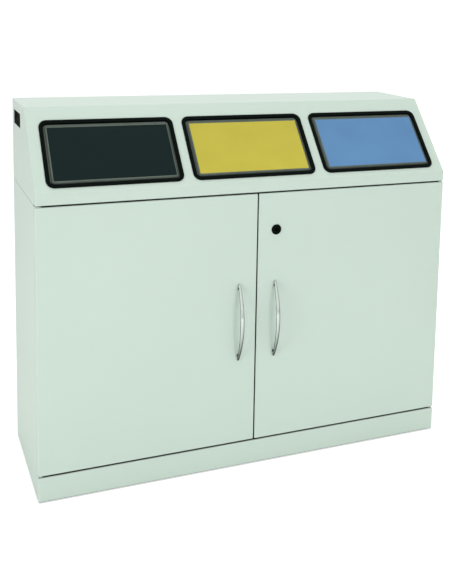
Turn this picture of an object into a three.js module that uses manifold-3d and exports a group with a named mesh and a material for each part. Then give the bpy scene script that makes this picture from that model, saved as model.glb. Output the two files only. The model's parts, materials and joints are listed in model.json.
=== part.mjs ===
// Recycling bin station: a sheet-steel cabinet with two full-overlay doors, a lift-off
// hood that carries three push flaps, and three galvanised inner bins with bails.
// Millimetres, +Z up, front towards -Y, +X to the right of someone facing the front.
// The origin is on the floor, in the middle of the bounding box.

import * as THREE from 'three';
import { mergeVertices } from 'three/addons/utils/BufferGeometryUtils.js';
import Module from 'manifold-3d';

const wasm = await Module();
wasm.setup();

// ---------------------------------------------------------------- driving dimensions

const WIDTH = 1200;
const HEIGHT = 1020;
const DEPTH = 420;                 // door fronts to the back of the cabinet
const HANDLE_REACH = 36;           // bow handles stand this far in front of the doors
const SHEET = 1.5;                 // steel sheet
const AIR = 0.3;                   // gap between pieces that rest on each other
const PAST = 5;                    // cutting solids run past the faces they cut by this much

const HALF = WIDTH / 2;
const FRONT = (HANDLE_REACH - DEPTH) / 2;
const BACK = FRONT + DEPTH;

const FOOT_LIFT = 2;               // cabinet sheets clear the floor by this much
const PLINTH_TOP = 69.5;
const DOOR_BOTTOM = 73.5;
const DOOR_TOP = 786.5;
const DOOR_THICK = 20;
const DOOR_CENTRE_GAP = 3.5;
const DOOR_TO_CARCASS = 4;
const DOOR_BACK = FRONT + DOOR_THICK;
const CARCASS_FRONT = DOOR_BACK + DOOR_TO_CARCASS;
const SIDE_TOP = 787;

const CHEEK_BOTTOM = 788.2;
const LIP_BOTTOM = 790.5;
const LIP_TOP = 819;
const SLOPE_RUN = 180;             // the sloping face goes back this far
const SLOPE_RISE = HEIGHT - LIP_TOP;
const SLOPE_ANGLE = Math.atan2(SLOPE_RISE, SLOPE_RUN);

const INLET_PITCH = 388.5;
const INLET_XS = [-INLET_PITCH, 0, INLET_PITCH];
const SIDES = ['left', 'centre', 'right'];

// ---------------------------------------------------------------- materials

const finish = (color, roughness, metalness) => (
  new THREE.MeshStandardMaterial({ color, roughness, metalness })
);
const paintGrey = finish(0xd2ded6, 0.5, 0.0);
const galvanised = finish(0xa9aeb0, 0.45, 0.9);
const satinNickel = finish(0xb9b6ae, 0.35, 1.0);
const zincPlated = finish(0xc4c6c8, 0.35, 1.0);
const blackZinc = finish(0x1c1c1c, 0.4, 0.8);
const blackPlastic = finish(0x131614, 0.45, 0.0);
const greyPlastic = finish(0x62645a, 0.5, 0.0);
const whiteNylon = finish(0xe8e6de, 0.6, 0.0);
const springSteel = finish(0x6e7072, 0.4, 1.0);
const insertPaints = [
  finish(0x1e2827, 0.35, 0.0),
  finish(0xc3b748, 0.4, 0.0),
  finish(0x668fb8, 0.4, 0.0),
];

// ---------------------------------------------------------------- geometry helpers

function solidOf(geometry) {
  const bare = geometry.clone();
  bare.deleteAttribute('normal');
  bare.deleteAttribute('uv');
  const merged = mergeVertices(bare, 1e-4);
  return new wasm.Manifold(new wasm.Mesh({
    numProp: 3,
    vertProperties: Float32Array.from(merged.attributes.position.array),
    triVerts: Uint32Array.from(merged.index.array),
  }));
}

function geometryOf(solid) {
  const mesh = solid.getMesh();
  const geometry = new THREE.BufferGeometry();
  const points = Float32Array.from(mesh.vertProperties);
  geometry.setAttribute('position', new THREE.BufferAttribute(points, 3));
  geometry.setIndex(new THREE.BufferAttribute(Uint32Array.from(mesh.triVerts), 1));
  geometry.computeVertexNormals();
  return geometry;
}

function join(...pieces) {
  return geometryOf(pieces.map(solidOf).reduce((whole, piece) => whole.add(piece)));
}

function cut(base, ...tools) {
  return geometryOf(tools.map(solidOf).reduce((rest, tool) => rest.subtract(tool), solidOf(base)));
}

// A box from its limits along each axis.
function box([x0, x1], [y0, y1], [z0, z1]) {
  const size = new THREE.BoxGeometry(x1 - x0, y1 - y0, z1 - z0);
  return size.translate((x0 + x1) / 2, (y0 + y1) / 2, (z0 + z1) / 2);
}

// A round bar between two points.
function rod(start, end, radius, sides = 12) {
  const from = new THREE.Vector3(...start);
  const along = new THREE.Vector3(...end).sub(from);
  const bar = new THREE.CylinderGeometry(radius, radius, along.length(), sides);
  bar.translate(0, along.length() / 2, 0);
  const turn = new THREE.Quaternion();
  turn.setFromUnitVectors(new THREE.Vector3(0, 1, 0), along.clone().normalize());
  return bar.applyQuaternion(turn).translate(from.x, from.y, from.z);
}

function outlineShape(points) {
  return new THREE.Shape(points.map(([a, b]) => new THREE.Vector2(a, b)));
}

// The same open path, moved to the right of its direction of travel and mitred.
function movedRight(points, distance) {
  const path = points.map(([a, b]) => new THREE.Vector2(a, b));
  const rightOf = (i) => {
    const run = path[i + 1].clone().sub(path[i]).normalize();
    return new THREE.Vector2(run.y, -run.x);
  };
  return path.map((point, i) => {
    const before = rightOf(Math.max(i - 1, 0));
    const after = rightOf(Math.min(i, path.length - 2));
    const mitre = before.clone().add(after).normalize();
    const moved = point.clone().addScaledVector(mitre, distance / mitre.dot(after));
    return [moved.x, moved.y];
  });
}

// A closed strip of sheet whose outer face follows the points; its thickness lies to
// the right of the direction of travel.
function foldedSheet(points, thickness = SHEET) {
  return outlineShape([...points, ...movedRight(points, thickness).reverse()]);
}

function extrude(shape, length) {
  return new THREE.ExtrudeGeometry(shape, { depth: length, bevelEnabled: false });
}

// A (y, z) section run along X between two limits.
function runAlongX(shape, x0, x1) {
  const axes = new THREE.Matrix4().makeBasis(
    new THREE.Vector3(0, 1, 0), new THREE.Vector3(0, 0, 1), new THREE.Vector3(1, 0, 0));
  return extrude(shape, x1 - x0).applyMatrix4(axes).translate(x0, 0, 0);
}

// An (x, z) section run along Y between two limits.
function runAlongY(shape, y0, y1) {
  return extrude(shape, y1 - y0).rotateX(Math.PI / 2).translate(0, y1, 0);
}

// An (x, y) section run along Z between two limits.
function runAlongZ(shape, z0, z1) {
  return extrude(shape, z1 - z0).translate(0, 0, z0);
}

// A rectangle centred on (cx, cy) with rounded corners, as a shape.
function roundedRectangle(cx, cy, width, height, radius) {
  const shape = new THREE.Shape();
  const [x0, x1] = [cx - width / 2, cx + width / 2];
  const [y0, y1] = [cy - height / 2, cy + height / 2];
  shape.moveTo(x0 + radius, y0);
  shape.lineTo(x1 - radius, y0);
  shape.absarc(x1 - radius, y0 + radius, radius, -Math.PI / 2, 0);
  shape.lineTo(x1, y1 - radius);
  shape.absarc(x1 - radius, y1 - radius, radius, 0, Math.PI / 2);
  shape.lineTo(x0 + radius, y1);
  shape.absarc(x0 + radius, y1 - radius, radius, Math.PI / 2, Math.PI);
  shape.lineTo(x0, y0 + radius);
  shape.absarc(x0 + radius, y0 + radius, radius, Math.PI, 1.5 * Math.PI);
  return shape;
}

const CORNER_STEPS = 4;

function roundedBlock(cx, cy, width, height, radius, [z0, z1]) {
  const shape = roundedRectangle(cx, cy, width, height, radius);
  const block = new THREE.ExtrudeGeometry(
    shape, { depth: z1 - z0, bevelEnabled: false, curveSegments: CORNER_STEPS });
  return block.translate(0, 0, z0);
}

// ---------------------------------------------------------------- scene graph

const station = new THREE.Group();

// Pieces on the sloping face use (u, v, n): across, up the slope, out of the face.
const slope = new THREE.Group();
slope.position.set(0, FRONT, LIP_TOP);
slope.rotation.x = SLOPE_ANGLE;
station.add(slope);

function add(name, geometry, material, group = station) {
  const mesh = new THREE.Mesh(geometry, material);
  mesh.name = name;
  group.add(mesh);
}

// ---------------------------------------------------------------- cabinet sheets

const SIDE_FRONT_FLANGE = 25;
const SIDE_REAR_FLANGE = 20;
const CROSS_PIECE_GAP = 1;             // between a cross piece and the side panel
const INSIDE = HALF - SHEET - CROSS_PIECE_GAP;

function sidePanel(direction) {
  const outer = direction * HALF;
  const path = [
    [outer - direction * SIDE_FRONT_FLANGE, CARCASS_FRONT],
    [outer, CARCASS_FRONT],
    [outer, BACK],
    [outer - direction * SIDE_REAR_FLANGE, BACK],
  ];
  const ordered = direction < 0 ? path : path.reverse();
  return runAlongZ(foldedSheet(ordered), FOOT_LIFT, SIDE_TOP);
}

const BACK_PANEL_GAP = 0.5;            // to the rear flanges of the side panels
const BACK_PANEL_MARGIN = 2;           // shorter than the side panels at top and bottom

function backPanel() {
  const rear = BACK - SHEET - BACK_PANEL_GAP;
  const zs = [FOOT_LIFT + BACK_PANEL_MARGIN, SIDE_TOP - BACK_PANEL_MARGIN];
  return box([-INSIDE, INSIDE], [rear - SHEET, rear], zs);
}

const FLOOR_TOP = PLINTH_TOP;
const FLOOR_FRONT = CARCASS_FRONT + SHEET + CROSS_PIECE_GAP;
const FLOOR_BACK = BACK - 4;           // clear of the back panel
const FLOOR_FLANGE = 22;

function floorPanel() {
  const path = [
    [FLOOR_FRONT, FLOOR_TOP - FLOOR_FLANGE],
    [FLOOR_FRONT, FLOOR_TOP],
    [FLOOR_BACK, FLOOR_TOP],
    [FLOOR_BACK, FLOOR_TOP - FLOOR_FLANGE],
  ];
  return runAlongX(foldedSheet(path), -INSIDE, INSIDE);
}

const PIVOT_INSET = 8;                 // door pivots: from the outer edge, and behind the front
const PIVOT_X = HALF - PIVOT_INSET;
const PIVOT_Y = FRONT + PIVOT_INSET;
const PIN_RADIUS = 3;

function pivotHole(direction, z0, z1) {
  const x = direction * PIVOT_X;
  return rod([x, PIVOT_Y, z0], [x, PIVOT_Y, z1], PIN_RADIUS + AIR);
}

function plinthFront() {
  const rear = CARCASS_FRONT - SHEET;
  const block = box([-HALF, HALF], [FRONT, rear], [FOOT_LIFT, PLINTH_TOP]);
  const hollow = box(
    [-HALF + SHEET, HALF - SHEET], [FRONT + SHEET, rear + PAST],
    [FOOT_LIFT - PAST, PLINTH_TOP - SHEET]);
  const holes = [-1, 1].map((direction) => (
    pivotHole(direction, PLINTH_TOP - PAST, PLINTH_TOP + PAST)
  ));
  return cut(block, hollow, ...holes);
}

const RAIL_FRONT = CARCASS_FRONT + SHEET + AIR;
const RAIL_HEIGHT = 32;
const RAIL_DEPTH = 40;
const TONGUE_WIDTH = 13;               // tongues carry the top pivots out over the door ends
const TONGUE_FRONT = FRONT + 2;
const TONGUE_ROOT = 20;                // they run back over the rail by this much
const TONGUE_BOTTOM = SIDE_TOP + AIR;
const TONGUE_TOP = 789;

function topFrontRail() {
  const path = [
    [RAIL_FRONT + RAIL_DEPTH, SIDE_TOP - RAIL_HEIGHT],
    [RAIL_FRONT, SIDE_TOP - RAIL_HEIGHT],
    [RAIL_FRONT, SIDE_TOP],
    [RAIL_FRONT + RAIL_DEPTH, SIDE_TOP],
  ];
  const rail = runAlongX(foldedSheet(path), -INSIDE, INSIDE);
  const tongues = [-1, 1].flatMap((direction) => {
    const xs = [direction * INSIDE, direction * (INSIDE - TONGUE_WIDTH)].sort((a, b) => a - b);
    const rear = RAIL_FRONT + TONGUE_ROOT;
    const reach = box(xs, [TONGUE_FRONT, rear], [TONGUE_BOTTOM, TONGUE_TOP]);
    const weld = box(xs, [RAIL_FRONT + 2 * SHEET, rear], [SIDE_TOP - SHEET / 2, TONGUE_TOP]);
    return [reach, weld];
  });
  const holes = [-1, 1].map((direction) => (
    pivotHole(direction, TONGUE_BOTTOM - PAST, TONGUE_TOP + PAST)
  ));
  return cut(join(rail, ...tongues), ...holes);
}

const HOOD_TAB_XS = [-400, 400];       // tabs that locate the back of the hood
const HOOD_TAB_HEIGHT = 14;
const HOOD_TAB_HALF_WIDTH = 25;

function topRearRail() {
  const rear = FLOOR_BACK;
  const path = [
    [rear - RAIL_DEPTH, SIDE_TOP],
    [rear, SIDE_TOP],
    [rear, SIDE_TOP - RAIL_HEIGHT],
    [rear - RAIL_DEPTH, SIDE_TOP - RAIL_HEIGHT],
  ];
  const rail = runAlongX(foldedSheet(path), -INSIDE, INSIDE);
  const tabs = HOOD_TAB_XS.map((x) => box(
    [x - HOOD_TAB_HALF_WIDTH, x + HOOD_TAB_HALF_WIDTH], [rear - SHEET, rear],
    [SIDE_TOP - RAIL_HEIGHT / 6, SIDE_TOP + HOOD_TAB_HEIGHT]));
  return join(rail, ...tabs);
}

function addCabinet() {
  add('left_side_panel', sidePanel(-1), paintGrey);
  add('right_side_panel', sidePanel(1), paintGrey);
  add('back_panel', backPanel(), paintGrey);
  add('floor_panel', floorPanel(), paintGrey);
  add('plinth_front', plinthFront(), paintGrey);
  add('top_front_rail', topFrontRail(), paintGrey);
  add('top_rear_rail', topRearRail(), paintGrey);
}

// ---------------------------------------------------------------- feet, guides, catches

const FOOT_X = 560;
const FOOT_YS = { front: FRONT + 70, rear: BACK - 40 };
const FOOT_RADIUS = 18;
const FOOT_NECK_RADIUS = 12;
const FOOT_STEM_RADIUS = 4;
const FOOT_RIM_HEIGHT = 4;
const FOOT_PAD_HEIGHT = 9;

function levellingFoot(x, y) {
  const top = FLOOR_TOP - SHEET - AIR;
  const profile = [
    [0, 0],
    [FOOT_RADIUS, 0],
    [FOOT_RADIUS, FOOT_RIM_HEIGHT],
    [FOOT_NECK_RADIUS, FOOT_PAD_HEIGHT],
    [FOOT_STEM_RADIUS, FOOT_PAD_HEIGHT],
    [FOOT_STEM_RADIUS, top],
    [0, top],
  ];
  const points = profile.map(([r, z]) => new THREE.Vector2(r, z));
  return new THREE.LatheGeometry(points, 12).rotateX(Math.PI / 2).translate(x, y, 0);
}

const BIN_PITCH = 380;
const GUIDE_WIDTH = 12;
const GUIDE_HEIGHT = 35;
const GUIDE_SETBACK = 10;              // starts this far behind the bins' fronts
const BIN_FRONT = FRONT + 40;
const BIN_DEPTH = 340;

function binGuide(x) {
  const base = FLOOR_TOP + AIR;
  const path = [
    [x - GUIDE_WIDTH / 2, base],
    [x - GUIDE_WIDTH / 2, base + GUIDE_HEIGHT],
    [x + GUIDE_WIDTH / 2, base + GUIDE_HEIGHT],
    [x + GUIDE_WIDTH / 2, base],
  ];
  return runAlongY(foldedSheet(path), BIN_FRONT + GUIDE_SETBACK, BIN_FRONT + BIN_DEPTH);
}

const CATCH_X = 122;
const CATCH = { width: 45, depth: 25, height: 16, gap: 0.5 };
const POLES = { width: 30, height: 8, proud: 2, depth: 5 };

function magneticCatch(direction) {
  const x = direction * CATCH_X;
  const top = SIDE_TOP - RAIL_HEIGHT - AIR;
  const middle = top - CATCH.height / 2;
  const front = DOOR_BACK + CATCH.gap;
  const body = box(
    [x - CATCH.width / 2, x + CATCH.width / 2], [front + POLES.proud, front + CATCH.depth],
    [top - CATCH.height, top]);
  const poles = box(
    [x - POLES.width / 2, x + POLES.width / 2], [front, front + POLES.depth],
    [middle - POLES.height / 2, middle + POLES.height / 2]);
  return join(body, poles);
}

const LOCK_X = 55;
const LOCK_Z = 682;
const STRIKE_FRONT = RAIL_FRONT + SHEET + 0.5;
const STRIKE_XS = [-20, 25];           // spans the meeting line, clear of the raised cam
const STRIKE_BELOW_LOCK = 27;
const STRIKE_FLANGE = 20;

// An angle that hangs from the underside of the top front rail.
function lockStrike() {
  const top = SIDE_TOP - RAIL_HEIGHT - AIR;
  const path = [
    [STRIKE_FRONT, LOCK_Z - STRIKE_BELOW_LOCK],
    [STRIKE_FRONT, top],
    [STRIKE_FRONT + STRIKE_FLANGE, top],
  ];
  return runAlongX(foldedSheet(path), ...STRIKE_XS);
}

function addInteriorFittings() {
  for (const [end, y] of Object.entries(FOOT_YS)) {
    add(`foot_${end}_left`, levellingFoot(-FOOT_X, y), blackPlastic);
    add(`foot_${end}_right`, levellingFoot(FOOT_X, y), blackPlastic);
  }
  add('bin_guide_left', binGuide(-BIN_PITCH / 2), galvanised);
  add('bin_guide_right', binGuide(BIN_PITCH / 2), galvanised);
  add('magnetic_catch_left', magneticCatch(-1), blackPlastic);
  add('magnetic_catch_right', magneticCatch(1), blackPlastic);
  add('lock_strike', lockStrike(), zincPlated);
}

// ---------------------------------------------------------------- doors

const DOOR_EDGE_LIP = 15;              // inward return around the back of a door
const DOOR_TOP_LIP = 50;
const HANDLE_X = 53.5;
const HANDLE_MIDDLE_Z = 425.5;
const HANDLE_HOLE_SPACING = 192;
const HANDLE_LENGTH = 222;
const SCREW_RADIUS = 2;
const LOCK_BARREL_RADIUS = 9;
const BUSH_RADIUS = 4.8;
const BUSH_LENGTH = 8;
const BUSH_FLANGE = 1.5;               // thickness, and how far it stands out from the sleeve
const PIN_HEAD_RADIUS = PIN_RADIUS + 2;
const PIN_HEAD_THICK = 2;
const PIN_REACH = 10;                  // pins enter the doors by this much

const screwZs = [-1, 1].map((end) => HANDLE_MIDDLE_Z + (end * HANDLE_HOLE_SPACING) / 2);

function doorLimits(direction) {
  return [direction * HALF, (direction * DOOR_CENTRE_GAP) / 2].sort((a, b) => a - b);
}

function doorPan(direction) {
  const [x0, x1] = doorLimits(direction);
  const block = box([x0, x1], [FRONT, DOOR_BACK], [DOOR_BOTTOM, DOOR_TOP]);
  const hollow = box(
    [x0 + SHEET, x1 - SHEET], [FRONT + SHEET, DOOR_BACK - SHEET],
    [DOOR_BOTTOM + SHEET, DOOR_TOP - SHEET]);
  const window = box(
    [x0 + DOOR_EDGE_LIP, x1 - DOOR_EDGE_LIP], [DOOR_BACK - PAST, DOOR_BACK + PAST],
    [DOOR_BOTTOM + DOOR_EDGE_LIP, DOOR_TOP - DOOR_TOP_LIP]);
  const pivotX = direction * PIVOT_X;
  const bushHoles = [DOOR_BOTTOM, DOOR_TOP].map((z) => (
    rod([pivotX, PIVOT_Y, z - PAST], [pivotX, PIVOT_Y, z + PAST], BUSH_RADIUS + AIR)
  ));
  const throughFace = (x, z, radius, sides) => (
    rod([x, FRONT - PAST, z], [x, FRONT + PAST, z], radius, sides)
  );
  const screwHoles = screwZs.map((z) => (
    throughFace(direction * HANDLE_X, z, SCREW_RADIUS + AIR, 12)
  ));
  const lockHole = throughFace(LOCK_X, LOCK_Z, LOCK_BARREL_RADIUS + AIR, 24);
  const holes = [...bushHoles, ...screwHoles];
  if (direction > 0) holes.push(lockHole);
  return cut(block, hollow, window, ...holes);
}

const STIFFENER = { halfWidth: 45, channelHalfWidth: 30, behind: 3, bottomGap: 20, topGap: 5 };

// A hat channel down the middle of the door, its flanges against the door's face sheet.
function doorStiffener(direction) {
  const middle = (direction * HALF) / 2;
  const { halfWidth, channelHalfWidth } = STIFFENER;
  const front = FRONT + SHEET + AIR;
  const rear = DOOR_BACK - STIFFENER.behind;
  const path = [
    [middle + halfWidth, front],
    [middle + channelHalfWidth, front],
    [middle + channelHalfWidth, rear],
    [middle - channelHalfWidth, rear],
    [middle - channelHalfWidth, front],
    [middle - halfWidth, front],
  ];
  const bottom = DOOR_BOTTOM + STIFFENER.bottomGap;
  const top = DOOR_TOP - DOOR_TOP_LIP - STIFFENER.topGap;
  return runAlongZ(foldedSheet(path), bottom, top);
}

// Flanged nylon sleeve in the top or bottom edge of a door; `end` is +1 at the top.
function doorBush(direction, end) {
  const edge = end > 0 ? DOOR_TOP : DOOR_BOTTOM;
  const x = direction * PIVOT_X;
  const at = (inset) => [x, PIVOT_Y, edge - end * inset];
  const under = SHEET + AIR;
  const sleeve = rod(at(0.1), at(BUSH_LENGTH), BUSH_RADIUS);
  const flange = rod(at(under), at(under + BUSH_FLANGE), BUSH_RADIUS + BUSH_FLANGE);
  return cut(join(sleeve, flange), rod(at(-PAST), at(BUSH_LENGTH + PAST), PIN_RADIUS + AIR));
}

// A length of a pivot pin between two heights.
function pinLength(direction, z0, z1, radius) {
  const x = direction * PIVOT_X;
  return rod([x, PIVOT_Y, z0], [x, PIVOT_Y, z1], radius);
}

function topPivotPin(direction) {
  const over = TONGUE_TOP + AIR;
  const top = LIP_BOTTOM - AIR;
  const shaft = pinLength(direction, DOOR_TOP - PIN_REACH, (over + top) / 2, PIN_RADIUS);
  const head = pinLength(direction, over, top, PIN_HEAD_RADIUS);
  return join(shaft, head);
}

// Its shoulder stands between plinth and door, and carries the door.
function bottomPivotPin(direction) {
  const under = PLINTH_TOP - SHEET - AIR;
  const shaft = pinLength(
    direction, under - PIN_HEAD_THICK / 2, DOOR_BOTTOM + PIN_REACH, PIN_RADIUS);
  const head = pinLength(direction, under - PIN_HEAD_THICK, under, PIN_HEAD_RADIUS);
  const shoulder = pinLength(direction, PLINTH_TOP + AIR, DOOR_BOTTOM - 0.5, PIN_HEAD_RADIUS);
  return join(shaft, head, shoulder);
}

const BOW_SECTIONS = 14;
const BOW_SIDES = 8;
const BOW_TIP = { standOff: 2, width: 2.4, thick: 2.4 };
const BOW_MIDDLE = { width: 11, thick: 7 };
const POST_RADIUS = 3.4;
const POST_REACH = 10;
const SCREW_REACH = 6;                 // screws enter the posts by this much
const SCREW_HEAD_THICK = 2.6;

// Arched bow: a flat oval section that swells from pointed tips to the middle.
function handleBow(direction) {
  const tip = BOW_TIP;
  const middle = BOW_MIDDLE;
  const crown = HANDLE_REACH - middle.thick / 2;
  const bow = new THREE.CylinderGeometry(1, 1, 1, BOW_SIDES, BOW_SECTIONS);
  const points = bow.attributes.position;
  for (let i = 0; i < points.count; i += 1) {
    const along = points.getY(i) * 2;
    const swell = 1 - along * along;
    const width = tip.width + (middle.width - tip.width) * Math.sqrt(swell);
    const thick = tip.thick + (middle.thick - tip.thick) * Math.sqrt(swell);
    const standOff = tip.standOff + (crown - tip.standOff) * swell;
    const x = direction * HANDLE_X + (points.getX(i) * width) / 2;
    const y = FRONT - standOff - (points.getZ(i) * thick) / 2;
    points.setXYZ(i, x, y, HANDLE_MIDDLE_Z + (along * HANDLE_LENGTH) / 2);
  }
  return bow;
}

function handle(direction) {
  const x = direction * HANDLE_X;
  const postTip = FRONT - POST_REACH;
  const boreEnd = FRONT - SCREW_REACH - 0.5;
  const posts = screwZs.map((z) => rod([x, FRONT - AIR, z], [x, postTip, z], POST_RADIUS));
  const bores = screwZs.map((z) => (
    rod([x, FRONT + PAST, z], [x, boreEnd, z], SCREW_RADIUS + AIR)
  ));
  return cut(join(handleBow(direction), ...posts), ...bores);
}

function handleScrew(direction, z) {
  const x = direction * HANDLE_X;
  const inside = FRONT + SHEET + AIR;
  const headBack = inside + SCREW_HEAD_THICK;
  const shaft = rod([x, (inside + headBack) / 2, z], [x, FRONT - SCREW_REACH, z], SCREW_RADIUS);
  const head = rod([x, inside, z], [x, headBack, z], SCREW_RADIUS * 2);
  return join(shaft, head);
}

function addDoors() {
  for (const [side, direction] of [['left', -1], ['right', 1]]) {
    add(`${side}_door_pan`, doorPan(direction), paintGrey);
    add(`${side}_door_stiffener`, doorStiffener(direction), paintGrey);
    add(`${side}_door_handle`, handle(direction), satinNickel);
    add(`${side}_handle_screw_bottom`, handleScrew(direction, screwZs[0]), zincPlated);
    add(`${side}_handle_screw_top`, handleScrew(direction, screwZs[1]), zincPlated);
    add(`${side}_door_bush_bottom`, doorBush(direction, -1), whiteNylon);
    add(`${side}_door_bush_top`, doorBush(direction, 1), whiteNylon);
    add(`${side}_pivot_pin_bottom`, bottomPivotPin(direction), zincPlated);
    add(`${side}_pivot_pin_top`, topPivotPin(direction), zincPlated);
  }
}

// ---------------------------------------------------------------- cam lock on the right door

const ROSETTE_RADIUS = 14.5;
const ROSETTE_THICK = 3.2;
const CYLINDER_RADIUS = 6.5;
const CAM_BACK = FRONT + 34;
const CAM_THICK = 2.5;
const CAM_WIDTH = 16;
const CAM_LENGTH = 46;
const CAM_FRONT = CAM_BACK - CAM_THICK;
const CAM_BOSS_RADIUS = 4.5;
const CAM_BOSS_PROUD = 2;
const NUT_RADIUS = 13;
const NUT_THICK = 4;
const PLUG_SUNK = 0.4;                 // the plug's face sits this far inside the rosette
const KEY_SLOT = { width: 1.8, height: 8, depth: 8 };

const lockRod = (y0, y1, radius, sides) => (
  rod([LOCK_X, y0, LOCK_Z], [LOCK_X, y1, LOCK_Z], radius, sides)
);

function lockHousing() {
  const face = lockRod(FRONT - AIR - ROSETTE_THICK, FRONT - AIR, ROSETTE_RADIUS, 28);
  const barrel = lockRod(FRONT - 1, CAM_FRONT - SHEET, LOCK_BARREL_RADIUS, 28);
  const bore = lockRod(FRONT - ROSETTE_THICK - PAST, CAM_BACK, CYLINDER_RADIUS + AIR, 20);
  return cut(join(face, barrel), bore);
}

function lockNut() {
  const front = FRONT + SHEET + AIR;
  const hexagon = lockRod(front, front + NUT_THICK, NUT_RADIUS, 6);
  return cut(hexagon, lockRod(front - PAST, front + NUT_THICK + PAST, LOCK_BARREL_RADIUS + AIR, 28));
}

function lockCylinder() {
  const front = FRONT - AIR - ROSETTE_THICK + PLUG_SUNK;
  const plug = lockRod(front, CAM_FRONT - AIR, CYLINDER_RADIUS, 20);
  const boss = lockRod(CAM_FRONT - 1, CAM_BACK + CAM_BOSS_PROUD, CAM_BOSS_RADIUS, 12);
  const keySlot = box(
    [LOCK_X - KEY_SLOT.width / 2, LOCK_X + KEY_SLOT.width / 2],
    [front - PAST, front + KEY_SLOT.depth],
    [LOCK_Z - KEY_SLOT.height / 2, LOCK_Z + KEY_SLOT.height / 2]);
  return cut(join(plug, boss), keySlot);
}

function lockCam() {
  const blade = box(
    [LOCK_X - CAM_WIDTH / 2, LOCK_X + CAM_WIDTH / 2], [CAM_FRONT, CAM_BACK],
    [LOCK_Z - CAM_LENGTH, LOCK_Z + CAM_WIDTH / 2]);
  return cut(blade, lockRod(CAM_FRONT - PAST, CAM_BACK + PAST, CAM_BOSS_RADIUS + AIR, 12));
}

function addLock() {
  add('lock_housing', lockHousing(), blackPlastic);
  add('lock_nut', lockNut(), zincPlated);
  add('lock_cylinder', lockCylinder(), blackZinc);
  add('lock_cam', lockCam(), zincPlated);
}

// ---------------------------------------------------------------- hood

const FRAME_WIDTH = 363;
const FRAME_HEIGHT = 208.5;
const FRAME_RADIUS = 22;
const FRAME_BOTTOM = 16.5;             // up the slope from the bend above the lip
const FRAME_MIDDLE = FRAME_BOTTOM + FRAME_HEIGHT / 2;
const FRAME_PROUD = 3;
const FRAME_BAND = 11;
const BAND_BACK = -2.7;                // the band is this deep inside the tube
const CUTOUT_INSET = 3;                // the hood's cut-outs are this much inside the frames
const CUTOUT_REACH = 12;
const LIP_FLANGE = 15;
const CHEEK_NOTCH_Y = FRONT + 28;

const GRIP_LENGTH = 134;
const GRIP_HEIGHT = 40;
const GRIP_MIDDLE = { y: FRONT + 324, z: HEIGHT - 48 };
const GRIP_YS = [GRIP_MIDDLE.y - GRIP_LENGTH / 2, GRIP_MIDDLE.y + GRIP_LENGTH / 2];
const GRIP_ZS = [GRIP_MIDDLE.z - GRIP_HEIGHT / 2, GRIP_MIDDLE.z + GRIP_HEIGHT / 2];

const slopeTop = [FRONT + SLOPE_RUN, HEIGHT];

function inletCutout(u) {
  const hole = roundedBlock(
    u, FRAME_MIDDLE, FRAME_WIDTH - 2 * CUTOUT_INSET, FRAME_HEIGHT - 2 * CUTOUT_INSET,
    FRAME_RADIUS - CUTOUT_INSET, [-CUTOUT_REACH, CUTOUT_REACH]);
  slope.updateMatrix();
  return hole.applyMatrix4(slope.matrix);
}

function hoodShell() {
  const face = [[FRONT, LIP_BOTTOM], [FRONT, LIP_TOP], slopeTop, [BACK, HEIGHT]];
  const outline = [
    ...face, [BACK, CHEEK_BOTTOM], [CHEEK_NOTCH_Y, CHEEK_BOTTOM], [CHEEK_NOTCH_Y, LIP_BOTTOM],
  ];
  const inside = movedRight([...face, [BACK, CHEEK_BOTTOM]], SHEET);
  const [lipInside] = inside[0];
  const [backInside] = inside[4];
  const hollow = [
    [lipInside, LIP_BOTTOM + SHEET], ...inside.slice(1, 4), [backInside, CHEEK_BOTTOM - PAST],
    [FRONT + LIP_FLANGE, CHEEK_BOTTOM - PAST], [FRONT + LIP_FLANGE, LIP_BOTTOM + SHEET],
  ];
  const block = runAlongX(outlineShape(outline), -HALF, HALF);
  const core = runAlongX(outlineShape(hollow), SHEET - HALF, HALF - SHEET);
  const grips = box([-HALF - PAST, HALF + PAST], GRIP_YS, GRIP_ZS);
  return cut(block, core, ...INLET_XS.map(inletCutout), grips);
}

// ---------------------------------------------------------------- inlets and push flaps

const TUBE_INSET = CUTOUT_INSET + 0.7;
const TUBE_WALL = 2;
const TUBE_DEPTH = 20;
const THROAT_INSET = TUBE_INSET + TUBE_WALL;
const AXLE_RADIUS = 2.5;
const AXLE_V = 201;
const AXLE_N = -12;

const axleAt = (u) => [u, AXLE_V, AXLE_N];

// A block inside the inlet frame's outline, the same distance in on all four sides.
function insetBlock(u, inset, ns) {
  return roundedBlock(
    u, FRAME_MIDDLE, FRAME_WIDTH - 2 * inset, FRAME_HEIGHT - 2 * inset,
    FRAME_RADIUS - inset, ns);
}

function inletFrame(u) {
  const flange = insetBlock(u, 0, [AIR, AIR + FRAME_PROUD]);
  const tube = insetBlock(u, TUBE_INSET, [-TUBE_DEPTH, AIR + 1]);
  const throat = insetBlock(u, THROAT_INSET, [-TUBE_DEPTH - PAST, BAND_BACK]);
  const mouth = insetBlock(u, FRAME_BAND, [BAND_BACK - 1, FRAME_PROUD + PAST]);
  const bore = rod(axleAt(u - FRAME_WIDTH / 2), axleAt(u + FRAME_WIDTH / 2), AXLE_RADIUS + AIR);
  return cut(join(flange, tube), throat, mouth, bore);
}

function flapAxle(u) {
  const half = FRAME_WIDTH / 2 - TUBE_INSET;
  return rod(axleAt(u - half), axleAt(u + half), AXLE_RADIUS);
}

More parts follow.
